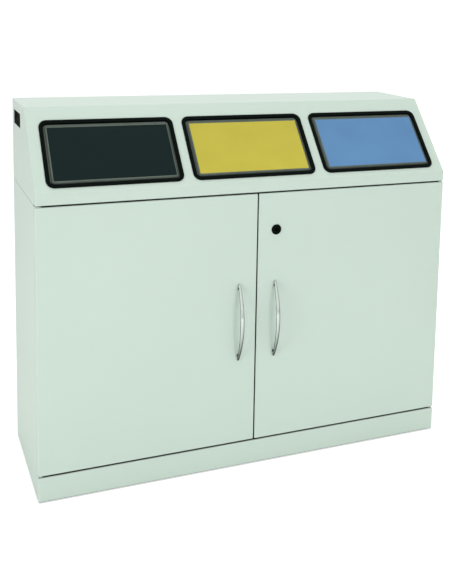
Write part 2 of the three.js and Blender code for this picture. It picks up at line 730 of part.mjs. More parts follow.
const LEDGE_INSET = FRAME_BAND + 1.3;  // leaves a gap all round the flap in the frame's mouth
const LEDGE_NS = [-6, -3];
const STOP_INSET = THROAT_INSET + 1;   // the stop flange lies behind the frame's band
const STOP_NS = [-5.8, -3.2];
const STOP_TOP = AXLE_V + 2;           // no higher, so that it never swings into the band
const CREST_N = 2.4;                   // the raised panel's top
const PANEL_CHAMFER = 5.4;
const PANEL_RISE = CREST_N - LEDGE_NS[1];
const PANEL_MARGIN = 0.5;              // rim of the panel round the insert's recess
const INSERT_WIDTH = 323;
const INSERT_VS = [36, 200];
const INSERT_THICK = 1;
const RECESS_N = CREST_N - INSERT_THICK - AIR;
const EAR = { inset: 20, width: 6, halfHeight: 7, below: 6 };

// The middle of the flap: it rises with a chamfer from the ledge to the insert.
function raisedPanel(u) {
  const [v0, v1] = INSERT_VS;
  const shape = roundedRectangle(
    u, (v0 + v1) / 2, INSERT_WIDTH + 2 * PANEL_MARGIN, v1 - v0 + 2 * PANEL_MARGIN, 2 * PANEL_MARGIN);
  const panel = new THREE.ExtrudeGeometry(shape, {
    depth: 0.1,
    bevelEnabled: true,
    bevelThickness: PANEL_RISE,
    bevelSize: PANEL_CHAMFER,
    bevelSegments: 1,
    curveSegments: CORNER_STEPS,
  });
  panel.translate(0, 0, LEDGE_NS[1] - 0.1);
  const behind = box(
    [u - FRAME_WIDTH / 2, u + FRAME_WIDTH / 2], [0, FRAME_BOTTOM + FRAME_HEIGHT],
    [LEDGE_NS[1] - 2 * PANEL_RISE, LEDGE_NS[1] - 1]);
  return cut(panel, behind);
}

function stopFlange(u) {
  const bottom = FRAME_BOTTOM + STOP_INSET;
  return roundedBlock(
    u, (bottom + STOP_TOP) / 2, FRAME_WIDTH - 2 * STOP_INSET, STOP_TOP - bottom,
    FRAME_RADIUS - STOP_INSET, STOP_NS);
}

function flapEar(u, end) {
  const middle = u + end * (FRAME_WIDTH / 2 - LEDGE_INSET - EAR.inset);
  return box(
    [middle - EAR.width / 2, middle + EAR.width / 2],
    [AXLE_V - EAR.halfHeight, AXLE_V + EAR.halfHeight],
    [AXLE_N - EAR.below, LEDGE_NS[0] + 0.5]);
}

function flapPlate(u) {
  const body = join(
    insetBlock(u, LEDGE_INSET, LEDGE_NS), stopFlange(u), raisedPanel(u),
    flapEar(u, -1), flapEar(u, 1));
  const half = INSERT_WIDTH / 2;
  const recess = box([u - half, u + half], INSERT_VS, [RECESS_N, CREST_N + PAST]);
  const bore = rod(axleAt(u - half), axleAt(u + half), AXLE_RADIUS + AIR);
  return cut(body, recess, bore);
}

function flapInsert(u) {
  const half = INSERT_WIDTH / 2 - AIR;
  const [v0, v1] = INSERT_VS;
  return box([u - half, u + half], [v0 + AIR, v1 - AIR], [CREST_N - INSERT_THICK, CREST_N]);
}

// Torsion spring: a coil round the axle whose long leg presses on the flap.
const SPRING = { offset: 100, radius: 4.7, wire: 0.6, turns: 4, length: 10, leg: 42, legShare: 0.25 };

class SpringPath extends THREE.Curve {
  constructor(u) {
    super();
    this.u = u;
  }

  getPoint(t) {
    const { radius, turns, length, leg, legShare } = SPRING;
    const coil = Math.max(0, (t - legShare) / (1 - legShare));
    const angle = -Math.PI / 2 + coil * turns * 2 * Math.PI;
    const legLeft = Math.max(0, (legShare - t) / legShare) * leg;
    return new THREE.Vector3(
      this.u + coil * length,
      AXLE_V + radius * Math.cos(angle) - legLeft,
      AXLE_N - radius * Math.sin(angle));
  }
}

function flapSpring(u) {
  const wire = new THREE.Shape();
  wire.absarc(0, 0, SPRING.wire, 0, 2 * Math.PI);
  return new THREE.ExtrudeGeometry(wire, {
    steps: 40,
    extrudePath: new SpringPath(u + SPRING.offset),
    curveSegments: 3,
    bevelEnabled: false,
  });
}

function addHoodAndFlaps() {
  add('hood_shell', hoodShell(), paintGrey);
  SIDES.forEach((side, i) => {
    const u = INLET_XS[i];
    add(`${side}_inlet_frame`, inletFrame(u), blackPlastic, slope);
    add(`${side}_flap_axle`, flapAxle(u), zincPlated, slope);
    add(`${side}_flap_plate`, flapPlate(u), greyPlastic, slope);
    add(`${side}_flap_insert`, flapInsert(u), insertPaints[i], slope);
    add(`${side}_flap_spring`, flapSpring(u), springSteel, slope);
  });
}

// ---------------------------------------------------------------- inner bins and bails

const BIN_WIDTH = 355;
const BIN_HEIGHT = 640;
const BIN_RIM = 4;                     // rolled rim stands out this far
const BIN_RIM_HEIGHT = 6;
const BAIL_ROD = 3;
const BAIL_ARM = 182;
const BAIL_REST_DROP = THREE.MathUtils.degToRad(17.5);
const BAIL_PIVOT_Y = BIN_FRONT + BIN_DEPTH / 2;
const BAIL_PIVOT_Z = 690;
const BAIL_HALF_WIDTH = BIN_WIDTH / 2 + BIN_RIM + 4;
const BAIL_HOOK = 5;                   // the bail's ends reach this far inside the bin

function innerBin(x) {
  const base = FLOOR_TOP + AIR;
  const top = base + BIN_HEIGHT;
  const half = BIN_WIDTH / 2;
  const rear = BIN_FRONT + BIN_DEPTH;
  const body = box([x - half, x + half], [BIN_FRONT, rear], [base, top]);
  const rim = box(
    [x - half - BIN_RIM, x + half + BIN_RIM], [BIN_FRONT - BIN_RIM, rear + BIN_RIM],
    [top - BIN_RIM_HEIGHT, top]);
  const hollow = box(
    [x - half + SHEET, x + half - SHEET], [BIN_FRONT + SHEET, rear - SHEET],
    [base + SHEET, top + PAST]);
  const pivotAt = (side) => [x + side * (half + PAST), BAIL_PIVOT_Y, BAIL_PIVOT_Z];
  const pivots = rod(pivotAt(-1), pivotAt(1), BAIL_ROD + AIR);
  return cut(join(body, rim), hollow, pivots);
}

// The bail hangs behind the bin at rest and is built lying flat, then dropped.
function binBail(x) {
  const corner = (side) => [side * BAIL_HALF_WIDTH, BAIL_ARM, 0];
  const pieces = [rod(corner(-1), corner(1), BAIL_ROD, 8)];
  for (const side of [-1, 1]) {
    const hip = [side * BAIL_HALF_WIDTH, 0, 0];
    pieces.push(rod(hip, corner(side), BAIL_ROD, 8));
    pieces.push(rod(hip, [side * (BIN_WIDTH / 2 - BAIL_HOOK), 0, 0], BAIL_ROD, 8));
    for (const joint of [hip, corner(side)]) {
      pieces.push(new THREE.SphereGeometry(BAIL_ROD, 8, 6).translate(...joint));
    }
  }
  const bail = join(...pieces).rotateX(-BAIL_REST_DROP);
  return bail.translate(x, BAIL_PIVOT_Y, BAIL_PIVOT_Z);
}

function addBins() {
  SIDES.forEach((side, i) => {
    const x = (i - 1) * BIN_PITCH;
    add(`${side}_inner_bin`, innerBin(x), galvanised);
    add(`${side}_bin_bail`, binBail(x), zincPlated);
  });
}

addCabinet();
addInteriorFittings();
addDoors();
addLock();
addHoodAndFlaps();
addBins();

export default station;
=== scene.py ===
"""Looks of the recycling bin station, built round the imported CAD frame.

Metres, +Z up, the front faces -Y. Sheet pieces are rebuilt with bend radii, moulded
pieces with rounded sections, and round pieces as fine lathe work, each in the place of
its CAD node. Pieces on the sloping face use (u, v, n): across, up the slope, outwards.
"""
import json
import math

import bmesh
import bpy
from mathutils import Matrix, Vector


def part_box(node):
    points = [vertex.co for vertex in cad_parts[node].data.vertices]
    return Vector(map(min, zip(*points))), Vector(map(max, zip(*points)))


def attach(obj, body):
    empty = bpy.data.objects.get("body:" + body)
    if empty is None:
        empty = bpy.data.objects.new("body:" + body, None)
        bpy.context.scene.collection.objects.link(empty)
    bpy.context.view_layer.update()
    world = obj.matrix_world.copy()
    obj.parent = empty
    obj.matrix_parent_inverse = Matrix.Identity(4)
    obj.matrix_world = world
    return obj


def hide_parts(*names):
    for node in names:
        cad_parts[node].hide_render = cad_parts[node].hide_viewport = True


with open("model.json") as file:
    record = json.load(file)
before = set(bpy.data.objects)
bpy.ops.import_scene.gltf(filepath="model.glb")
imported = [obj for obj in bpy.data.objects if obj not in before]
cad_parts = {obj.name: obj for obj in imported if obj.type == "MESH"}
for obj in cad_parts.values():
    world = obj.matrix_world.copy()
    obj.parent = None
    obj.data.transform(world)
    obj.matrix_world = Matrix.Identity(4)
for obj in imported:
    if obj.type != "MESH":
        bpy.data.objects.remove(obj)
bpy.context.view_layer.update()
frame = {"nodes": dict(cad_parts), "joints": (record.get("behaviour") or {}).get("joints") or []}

SIDES = ("left", "centre", "right")
HANDS = (("left", -1), ("right", 1))

# sheet metal
MM = 0.001
SHEET = 1.5 * MM
BEND = 1.5 * MM                 # inside radius of a sheet bend
OUTER_RADIUS = BEND + SHEET
EDGE = 0.3 * MM                 # softened sheared edge
AIR = 0.3 * MM                  # gap between pieces that rest on each other
HAIR = 0.1 * MM                 # far enough to tell two levels apart

# hood, inlets and flaps
LIP_FLANGE = 15 * MM
FRAME_RADIUS = 22 * MM
CUTOUT_INSET = 3 * MM
FRAME_BAND = 11 * MM
BAND_BACK = -2.7 * MM           # the band is this deep inside the tube
TUBE_INSET = 3.7 * MM
TUBE_WALL = 2 * MM
LEDGE_INSET = FRAME_BAND + 1.3 * MM
LEDGE_TOP = -3 * MM             # the ledge lies this far below the hood's face
STOP_RADIUS = 15 * MM
EAR_INSET = 20 * MM
AXLE_RADIUS = 2.5 * MM
AXLE_BORE = 2.8 * MM
INSERT_SLOTS = {"left": "insert_black", "centre": "insert_yellow", "right": "insert_blue"}

# cabinet, doors and lock
SIDE_FLANGE_FRONT = 25 * MM
SIDE_FLANGE_REAR = 20 * MM
FOOT_PROFILE = (                # (radius, height) of the pad in mm, up to its stem
    (16.5, 0), (17.6, 0.4), (18, 1.2), (18, 3.4), (17.4, 4.4), (12.5, 8.2), (11.5, 9), (4, 9))
RAIL_DEPTH = 32 * MM
RAIL_ARM = 13 * MM
TAB_PLACE = 400 * MM
TAB_WIDTH = 50 * MM
DOOR_EDGE_LIP = 15 * MM
DOOR_TOP_LIP = 50 * MM
HANDLE_HOLES = 192 * MM
BOW_TIP = (1.4 * MM, 1.2 * MM)          # half width and half thickness at the tips
BOW_SWELL = (4.1 * MM, 2.3 * MM)        # what each gains towards the middle
BOW_SQUARE = 0.8                        # 1 would be a plain oval section
BOW_TIP_ROUND = 3 * MM
BOW_FOOT = 2 * MM                       # middle of the tips above the door
BOW_CROWN_INSET = 3.5 * MM              # middle of the bow behind its front face
POST_RADIUS = 3.4 * MM
PIN_BORE = 3.3 * MM
BUSH_HOLE = 5.1 * MM
SCREW_HOLE = 2.3 * MM
BARREL_HOLE = 9.3 * MM

# inner bins and bails
BIN_CORNER = 16 * MM
BIN_RIM = 4 * MM
BAIL_ROD = 3 * MM
BAIL_ARM = 182 * MM
BAIL_DROP = math.radians(17.5)
BAIL_HOLE = 3.3 * MM

# stage
WORLD_LIGHT = 0.645
WORLD_SEEN = 1.05               # keeps the background white
MIRRORED_FRONT = (0.45, (0.80, 0.81, 0.80, 1))      # where in the sky from front to back,
MIRRORED_BACK = (0.75, (0.95, 0.95, 0.97, 1))       # and the colour that metal reflects there
PAPER = (0.93, 0.93, 0.93, 1)
FLOOR_LIFT = 0.48               # brightens the paper for the camera only
FLOOR_REACH = 60
LIGHTS = (                      # name, place, aim, width, watts
    ("front", (0.6, -3.0, 0.6), (0, 0, 0.5), 1.1, 15),
    ("left", (-3.4, -1.8, 0.9), (-0.3, 0, 0.5), 1.2, 30),
    ("top", (0, 0.8, 4.4), (0, 0, 0.6), 2.8, 60),
)
CAMERA_PLACE = Vector((-0.9234, -2.4633, 1.3022))
CAMERA_YAW = math.radians(23.858)
CAMERA_PITCH = math.radians(-7.553)
CAMERA_ROLL = math.radians(1.440)
CAMERA_LENS = 55.90
CAMERA_SHIFT = {"shift_x": -0.1053, "shift_y": -0.2845}


# ------------------------ places read from the frame

def low(node):
    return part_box(node)[0]


def high(node):
    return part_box(node)[1]


def middle(node):
    return (low(node) + high(node)) / 2


def joint_place(name):
    return next(Vector(j["pos_m"]) for j in frame["joints"] if j["name"] == name)


FRONT = low("left_door_pan").y
BACK = high("hood_shell").y
HALF = high("hood_shell").x
TOP = high("hood_shell").z
HOOD_POINTS = [v.co for v in frame["nodes"]["hood_shell"].data.vertices]
LIP_TOP = max(p.z for p in HOOD_POINTS if p.y < FRONT + HAIR)
LIP_BOTTOM = min(p.z for p in HOOD_POINTS if p.y < FRONT + HAIR)
CHEEK_BOTTOM = low("hood_shell").z
SLOPE_TOP_Y = min(p.y for p in HOOD_POINTS if p.z > TOP - HAIR)
SLOPE_ANGLE = math.atan2(TOP - LIP_TOP, SLOPE_TOP_Y - FRONT)
SLOPE = Matrix.Translation((0, FRONT, LIP_TOP)) @ Matrix.Rotation(SLOPE_ANGLE, 4, "X")
INLET_US = [middle(f"{side}_inlet_frame").x for side in SIDES]


# ------------------------ mesh helpers

def to_scene(thing):
    bpy.context.scene.collection.objects.link(thing)
    return thing


def new_piece(name, points, faces):
    """An object with that mesh, its faces turned outwards."""
    mesh = bpy.data.meshes.new(name)
    mesh.from_pydata([tuple(p) for p in points], [], faces)
    work = bmesh.new()
    work.from_mesh(mesh)
    bmesh.ops.remove_doubles(work, verts=work.verts, dist=1e-7)
    bmesh.ops.recalc_face_normals(work, faces=work.faces)
    work.to_mesh(mesh)
    work.free()
    return to_scene(bpy.data.objects.new(name, mesh))


def bake(piece):
    """Applies the piece's modifiers to its mesh."""
    graph = bpy.context.evaluated_depsgraph_get()
    mesh = bpy.data.meshes.new_from_object(piece.evaluated_get(graph))
    piece.modifiers.clear()
    piece.data = mesh
    return piece


def combine(piece, operation, *tools):
    """Joins the tools to the piece or cuts them from it, and removes them."""
    for tool in tools:
        change = piece.modifiers.new("change", "BOOLEAN")
        change.operation = operation
        change.solver = "EXACT"
        change.object = tool
        bake(piece)
        bpy.data.objects.remove(tool)
    return piece


def cut(piece, *tools):
    return combine(piece, "DIFFERENCE", *tools)


def join(piece, *tools):
    return combine(piece, "UNION", *tools)


def soften(piece, width, steps=2, above=50):
    """Rounds every edge that turns by more than `above` degrees."""
    bevel = piece.modifiers.new("soften", "BEVEL")
    bevel.width = width
    bevel.segments = steps
    bevel.limit_method = "ANGLE"
    bevel.angle_limit = math.radians(above)
    return bake(piece)


def shade(piece, sharp_above=38):
    piece.data.shade_smooth()
    piece.data.set_sharp_from_angle(angle=math.radians(sharp_above))
    weighted = piece.modifiers.new("weighted", "WEIGHTED_NORMAL")
    weighted.keep_sharp = True
    return bake(piece)


def place(piece, matrix):
    piece.data.transform(matrix)
    return piece


def box_piece(xs, ys, zs, name="box"):
    points = [(x, y, z) for x in xs for y in ys for z in zs]
    faces = [(0, 1, 3, 2), (4, 6, 7, 5), (0, 4, 5, 1), (2, 3, 7, 6), (0, 2, 6, 4), (1, 5, 7, 3)]
    return new_piece(name, points, faces)


def prism(name, outline, axis, start, end):
    """A closed outline run along an axis: (y, z) along X, (x, z) along Y, (x, y) along Z."""
    turn = {
        "X": lambda a, b, t: (t, a, b),
        "Y": lambda a, b, t: (a, t, b),
        "Z": lambda a, b, t: (a, b, t),
    }[axis]
    count = len(outline)
    points = [turn(a, b, t) for t in (start, end) for a, b in outline]
    faces = [tuple(range(count)), tuple(range(count, 2 * count))]
    for i in range(count):
        j = (i + 1) % count
        faces.append((i, j, count + j, count + i))
    return new_piece(name, points, faces)


def rounded_path(points, radii, closed=False, steps=5):
    """The path with each corner turned into an arc of its own radius."""
    path = []
    count = len(points)
    for i, corner in enumerate(points):
        is_end = not closed and i in (0, count - 1)
        if is_end or radii[i] <= 0:
            path.append(corner)
            continue
        before = (points[i - 1] - corner).normalized()
        after = (points[(i + 1) % count] - corner).normalized()
        half = before.angle(after) / 2
        centre = corner + (before + after).normalized() * radii[i] / math.sin(half)
        start = corner + before * radii[i] / math.tan(half) - centre
        sweep = math.pi - 2 * half
        if before.x * after.y - before.y * after.x > 0:
            sweep = -sweep
        for k in range(steps + 1):
            angle = sweep * k / steps
            turned = Vector((
                start.x * math.cos(angle) - start.y * math.sin(angle),
                start.x * math.sin(angle) + start.y * math.cos(angle)))
            path.append(centre + turned)
    return path


def rounded_prism(name, corners, radii, start, end, edge, steps=5):
    """A closed (y, z) outline run along X, its corners and its end edges rounded.

    The outline goes clockwise seen with Y to the right and Z up: its inside is on its right.
    """
    turns = [math.pi / 2 * k / steps for k in range(steps + 1)]
    levels = [(edge * (1 - math.sin(t)), start + edge * (1 - math.cos(t))) for t in turns]
    levels += [(edge * (1 - math.sin(t)), end - edge * (1 - math.cos(t))) for t in reversed(turns)]
    rings = []
    for inset, x in levels:
        outline = moved_right(corners, inset, closed=True)
        shrunk = [max(r - inset, 0.02 * MM) if r > 0 else 0 for r in radii]
        path = rounded_path(outline, shrunk, closed=True, steps=steps)
        rings.append([Vector((x, p.x, p.y)) for p in path])
    return loft(name, rings)


def moved_right(points, distance, closed=False):
    """The path moved to the right of its direction of travel, mitred at its corners."""
    count = len(points)
    ends = points[1:] + points[:1] if closed else points[1:]
    runs = [(b - a).normalized() for a, b in zip(points, ends)]
    rights = [Vector((run.y, -run.x)) for run in runs]
    moved = []
    for i, point in enumerate(points):
        before = rights[i - 1] if closed or i > 0 else rights[0]
        after = rights[i] if closed or i < count - 1 else rights[-1]
        mitre = (before + after).normalized()
        moved.append(point + mitre * (distance / mitre.dot(after)))
    return moved


def folded_section(points, thickness=SHEET, bend=BEND):
    """The outline of bent sheet: its outer face follows the points, the inner is on their right."""
    outer = [Vector(p) for p in points]
    inner = moved_right(outer, thickness)
    outer_radii, inner_radii = [0], [0]
    for a, b, c in zip(outer, outer[1:], outer[2:]):
        into, away = b - a, c - b
        right_turn = into.x * away.y - into.y * away.x < 0
        outer_radii.append(bend + thickness if right_turn else bend)
        inner_radii.append(bend if right_turn else bend + thickness)
    outer_radii.append(0)
    inner_radii.append(0)
    return rounded_path(outer, outer_radii) + rounded_path(inner, inner_radii)[::-1]


def folded(name, points, axis, start, end):
    return prism(name, folded_section(points), axis, start, end)


def rectangle_ring(x0, x1, y0, y1, radius, level, steps=10):
    """A rounded rectangle as a ring of points at one level."""
    corners = [Vector(p) for p in ((x0, y0), (x1, y0), (x1, y1), (x0, y1))]
    ring = rounded_path(corners, [radius] * 4, closed=True, steps=steps)
    return [Vector((p.x, p.y, level)) for p in ring]


def loft(name, rings, closed=False):
    """Skins rings of equal length; the ends are capped unless the skin closes on itself."""
    size = len(rings[0])
    points = [p for ring in rings for p in ring]
    faces = []
    last = len(rings) if closed else len(rings) - 1
    for r in range(last):
        near, far = r * size, ((r + 1) % len(rings)) * size
        for i in range(size):
            j = (i + 1) % size
            faces.append((near + i, near + j, far + j, far + i))
    if not closed:
        faces.append(tuple(range(size)))
        faces.append(tuple(range(len(points) - size, len(points))))
    return new_piece(name, points, faces)


def lathe(name, profile, base, direction, segments=48, closed=False):
    """Turns (radius, distance) points about the line from base along direction.

    The ends are capped, unless the profile closes on itself round a bore.
    """
    turn = Vector((0, 0, 1)).rotation_difference(Vector(direction)).to_matrix().to_4x4()
    rings = []
    for radius, distance in profile:
        ring = []
        for k in range(segments):
            angle = 2 * math.pi * k / segments
            ring.append(Vector((radius * math.cos(angle), radius * math.sin(angle), distance)))
        rings.append(ring)
    return place(loft(name, rings, closed), Matrix.Translation(base) @ turn)


def rod(radius, start, end, base, direction, segments=32):
    """A plain cylinder, mostly used as a drill."""
    return lathe("rod", [(radius, start), (radius, end)], base, direction, segments)


def tube(name, path, radius, sides=16):
    """A round bar along a path of points, with its ends capped."""
    side = Vector((0, 0, 1)) if abs((path[1] - path[0]).normalized().z) < 0.9 else Vector((1, 0, 0))
    rings = []
    for i, point in enumerate(path):
        before = path[max(i - 1, 0)]
        after = path[min(i + 1, len(path) - 1)]
        run = (after - before).normalized()
        side = (side - run * side.dot(run)).normalized()
        other = run.cross(side)
        ring = []
        for k in range(sides):
            angle = 2 * math.pi * k / sides
            ring.append(point + (side * math.cos(angle) + other * math.sin(angle)) * radius)
        rings.append(ring)
    return loft(name, rings)


def hand_in(piece, body, slot_name, node):
    """Gives a finished piece its material and its body, and hides the CAD node it stands for."""
    piece.data.materials.clear()
    piece.data.materials.append(MATERIALS[slot_name])
    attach(piece, body)
    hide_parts(node)


def hand_in_sheet(piece, body, slot_name, node):
    """Hands in a sheet piece with its sheared edges softened and its bends left alone."""
    hand_in(shade(soften(piece, EDGE, above=60)), body, slot_name, node)


# ------------------------ materials

def srgb(red, green, blue):
    """8-bit display colour as linear RGBA."""
    def linear(value):
        share = value / 255
        return share / 12.92 if share <= 0.04045 else ((share + 0.055) / 1.055) ** 2.4
    return (linear(red), linear(green), linear(blue), 1)


class Finish:
    """A node material with short ways to add the textures that a finish is made of."""

    def __init__(self, name, color, roughness, metallic=0.0, specular=0.5):
        self.material = bpy.data.materials.new(name)
        self.material.use_nodes = True
        self.tree = self.material.node_tree
        self.shader = self.tree.nodes["Principled BSDF"]
        values = {"Base Color": color, "Roughness": roughness, "Metallic": metallic,
                  "Specular IOR Level": specular}
        for socket, value in values.items():
            self.shader.inputs[socket].default_value = value
        self.color = color
        self.normal = None
        self.places = self.add("TexCoord").outputs["Object"]

    def add(self, kind):
        return self.tree.nodes.new("ShaderNode" + kind)

    def link(self, source, target):
        self.tree.links.new(source, target)

    def stretched(self, scale):
        mapping = self.add("Mapping")
        mapping.inputs["Scale"].default_value = scale
        self.link(self.places, mapping.inputs["Vector"])
        return mapping.outputs["Vector"]

    def noise(self, scale, detail=3.0, stretch=None):
        node = self.add("TexNoise")
        node.inputs["Scale"].default_value = scale
        node.inputs["Detail"].default_value = detail
        self.link(self.stretched(stretch) if stretch else self.places, node.inputs["Vector"])
        return node.outputs["Fac"]

    def cells(self, scale, feature="F1"):
        node = self.add("TexVoronoi")
        node.feature = feature
        node.inputs["Scale"].default_value = scale
        self.link(self.places, node.inputs["Vector"])
        return node

    def ramp(self, value, low_at, low_color, high_at, high_color):
        node = self.add("ValToRGB")
        node.color_ramp.elements[0].position = low_at
        node.color_ramp.elements[0].color = low_color
        node.color_ramp.elements[1].position = high_at
        node.color_ramp.elements[1].color = high_color
        self.link(value, node.inputs["Fac"])
        return node.outputs["Color"]

    def vary_color(self, value, spread, low_at=0.3, high_at=0.7):
        """Swings the colour by a share either way with a texture."""
        darker = tuple(c * (1 - spread) for c in self.color[:3]) + (1,)
        lighter = tuple(min(c * (1 + spread), 1) for c in self.color[:3]) + (1,)
        color = self.ramp(value, low_at, darker, high_at, lighter)
        self.link(color, self.shader.inputs["Base Color"])

    def vary_roughness(self, value, low_rough, high_rough):
        node = self.add("MapRange")
        node.inputs["To Min"].default_value = low_rough
        node.inputs["To Max"].default_value = high_rough
        self.link(value, node.inputs["Value"])
        self.link(node.outputs["Result"], self.shader.inputs["Roughness"])

    def paint_crevice_shade(self, distance, low_at, high_at, darkest):
        """Paints shade: multiplies the colour down where other surfaces crowd round within the
        distance.
        """
        node = self.add("AmbientOcclusion")
        node.samples = 8
        node.inputs["Distance"].default_value = distance
        white, grey = (1, 1, 1, 1), (darkest, darkest, darkest, 1)
        self.multiply_color(self.ramp(node.outputs["AO"], low_at, grey, high_at, white))

    def multiply_color(self, factor):
        mix = self.add("Mix")
        mix.data_type = "RGBA"
        mix.blend_type = "MULTIPLY"
        mix.inputs["Factor"].default_value = 1
        base = self.shader.inputs["Base Color"]
        self.link(base.links[0].from_socket, mix.inputs["A"])
        self.link(factor, mix.inputs["B"])
        self.link(mix.outputs["Result"], base)

    def paint_dark_edge_reflection(self, from_facing, to_facing, darkest):
        """Paints a dark reflection: multiplies the colour down where the surface turns away from
        the viewer.
        """
        node = self.add("LayerWeight")
        node.inputs["Blend"].default_value = 0.5
        white, grey = (1, 1, 1, 1), (darkest, darkest, darkest, 1)
        self.multiply_color(self.ramp(node.outputs["Facing"], from_facing, white, to_facing, grey))

    def bump(self, height, strength, depth):
        node = self.add("Bump")
        node.inputs["Strength"].default_value = strength
        node.inputs["Distance"].default_value = depth
        self.link(height, node.inputs["Height"])
        if self.normal:
            self.link(self.normal, node.inputs["Normal"])
        self.normal = node.outputs["Normal"]
        self.link(self.normal, self.shader.inputs["Normal"])


def powder_coat(name, color, roughness=0.42):
    """Fine orange peel, faint cloudiness, a little change of gloss, and painted shade in gaps and
    hollows.
    """
    finish = Finish(name, color, roughness, specular=0.45)
    finish.vary_color(finish.noise(2.2), 0.012)
    # painted shade in narrow gaps, seams and hollows
    finish.paint_crevice_shade(25 * MM, 0.12, 0.5, 0.03)
    # painted shade over a wide reach, darkening deep insides such as the hood seen through its hand
    # holes
    finish.paint_crevice_shade(400 * MM, 0.12, 0.36, 0.04)
    finish.vary_roughness(finish.noise(55), roughness - 0.06, roughness + 0.06)
    finish.bump(finish.noise(420, detail=2), 0.10, 0.15 * MM)
    finish.bump(finish.noise(1500, detail=1), 0.08, 0.05 * MM)
    return finish.material


def satin_sheet(name, color):
    """Coated insert: smooth, faintly mottled, with a soft clear layer."""
    finish = Finish(name, color, 0.38, specular=0.1)
    finish.vary_color(finish.noise(9, detail=5), 0.05)
    finish.vary_roughness(finish.noise(130), 0.32, 0.46)
    finish.bump(finish.noise(900, detail=2), 0.06, 0.05 * MM)
    finish.shader.inputs["Coat Weight"].default_value = 0.02
    finish.shader.inputs["Coat Roughness"].default_value = 0.25
    return finish.material


def moulded(name, color, roughness, specular=0.4, grain=1100):
    """Moulded plastic with a fine leathery grain and painted shade in its recesses."""
    finish = Finish(name, color, roughness, specular=specular)
    finish.vary_color(finish.noise(30), 0.10)
    # painted shade near walls and in recesses, such as the flap ledge beside the black frame
    finish.paint_crevice_shade(12 * MM, 0.25, 0.85, 0.38)
    finish.vary_roughness(finish.noise(240), roughness - 0.07, roughness + 0.07)
    finish.bump(finish.cells(grain, "SMOOTH_F1").outputs["Distance"], 0.16, 0.06 * MM)
    return finish.material


def spangled(name):
    """Galvanised sheet: crystal patches of differing brightness and gloss."""
    finish = Finish(name, srgb(176, 181, 184), 0.4, metallic=0.9)
    patches = finish.cells(95)
    finish.vary_color(patches.outputs["Color"], 0.16, 0.1, 0.9)
    finish.vary_roughness(patches.outputs["Color"], 0.30, 0.52)
    finish.bump(finish.noise(160, detail=4), 0.08, 0.1 * MM)
    return finish.material


def brushed(name, color, roughness, stretch):
    """Satin metal with fine lines along one direction, and a painted dark reflection where it turns
    away from the viewer.
    """
    finish = Finish(name, color, roughness, metallic=1.0)
    lines = finish.noise(1, detail=4, stretch=stretch)
    finish.vary_color(lines, 0.06)
    # painted dark reflection along the edges of the handle as seen by the camera
    finish.paint_dark_edge_reflection(0.10, 0.42, 0.05)
    finish.vary_roughness(lines, roughness - 0.08, roughness + 0.10)
    finish.bump(lines, 0.10, 0.03 * MM)
    return finish.material


def plated(name, color, roughness):
    """Zinc plate: cloudy, slightly uneven in gloss."""
    finish = Finish(name, color, roughness, metallic=1.0)
    finish.vary_color(finish.noise(120, detail=4), 0.10)
    finish.vary_roughness(finish.noise(300), roughness - 0.08, roughness + 0.10)
    finish.bump(finish.noise(700), 0.06, 0.04 * MM)
    return finish.material


FINISHES = (
    ("paint_grey", powder_coat, srgb(204, 221, 209)),
    ("galvanised", spangled),
    ("satin_nickel", brushed, srgb(230, 242, 235), 0.16, (900, 900, 25)),
    ("zinc", plated, srgb(190, 193, 194), 0.34),
    ("spring_steel", plated, srgb(120, 122, 124), 0.4),
    ("black_zinc", plated, srgb(14, 15, 16), 0.36),
    ("black_plastic", moulded, srgb(5, 13, 10), 0.42, 0.05),
    ("grey_plastic", moulded, srgb(106, 118, 108), 0.46, 0.3, 1400),
    ("nylon", moulded, srgb(226, 224, 216), 0.5),
    ("insert_black", satin_sheet, srgb(16, 32, 32)),
    ("insert_yellow", satin_sheet, srgb(196, 185, 74)),
    ("insert_blue", satin_sheet, srgb(98, 142, 186)),
)
MATERIALS = {name: make(name, *values) for name, make, *values in FINISHES}


# ------------------------ hood

def on_slope(piece):
    return place(piece, SLOPE)


def slope_box(node):
    """The lowest and highest (u, v, n) of a CAD node on the sloping face."""
    back = SLOPE.inverted()
    points = [back @ v.co for v in frame["nodes"][node].data.vertices]
    return [Vector((min(p[i] for p in points), max(p[i] for p in points))) for i in range(3)]


FRAME_US, FRAME_VS, FRAME_NS = slope_box("centre_inlet_frame")


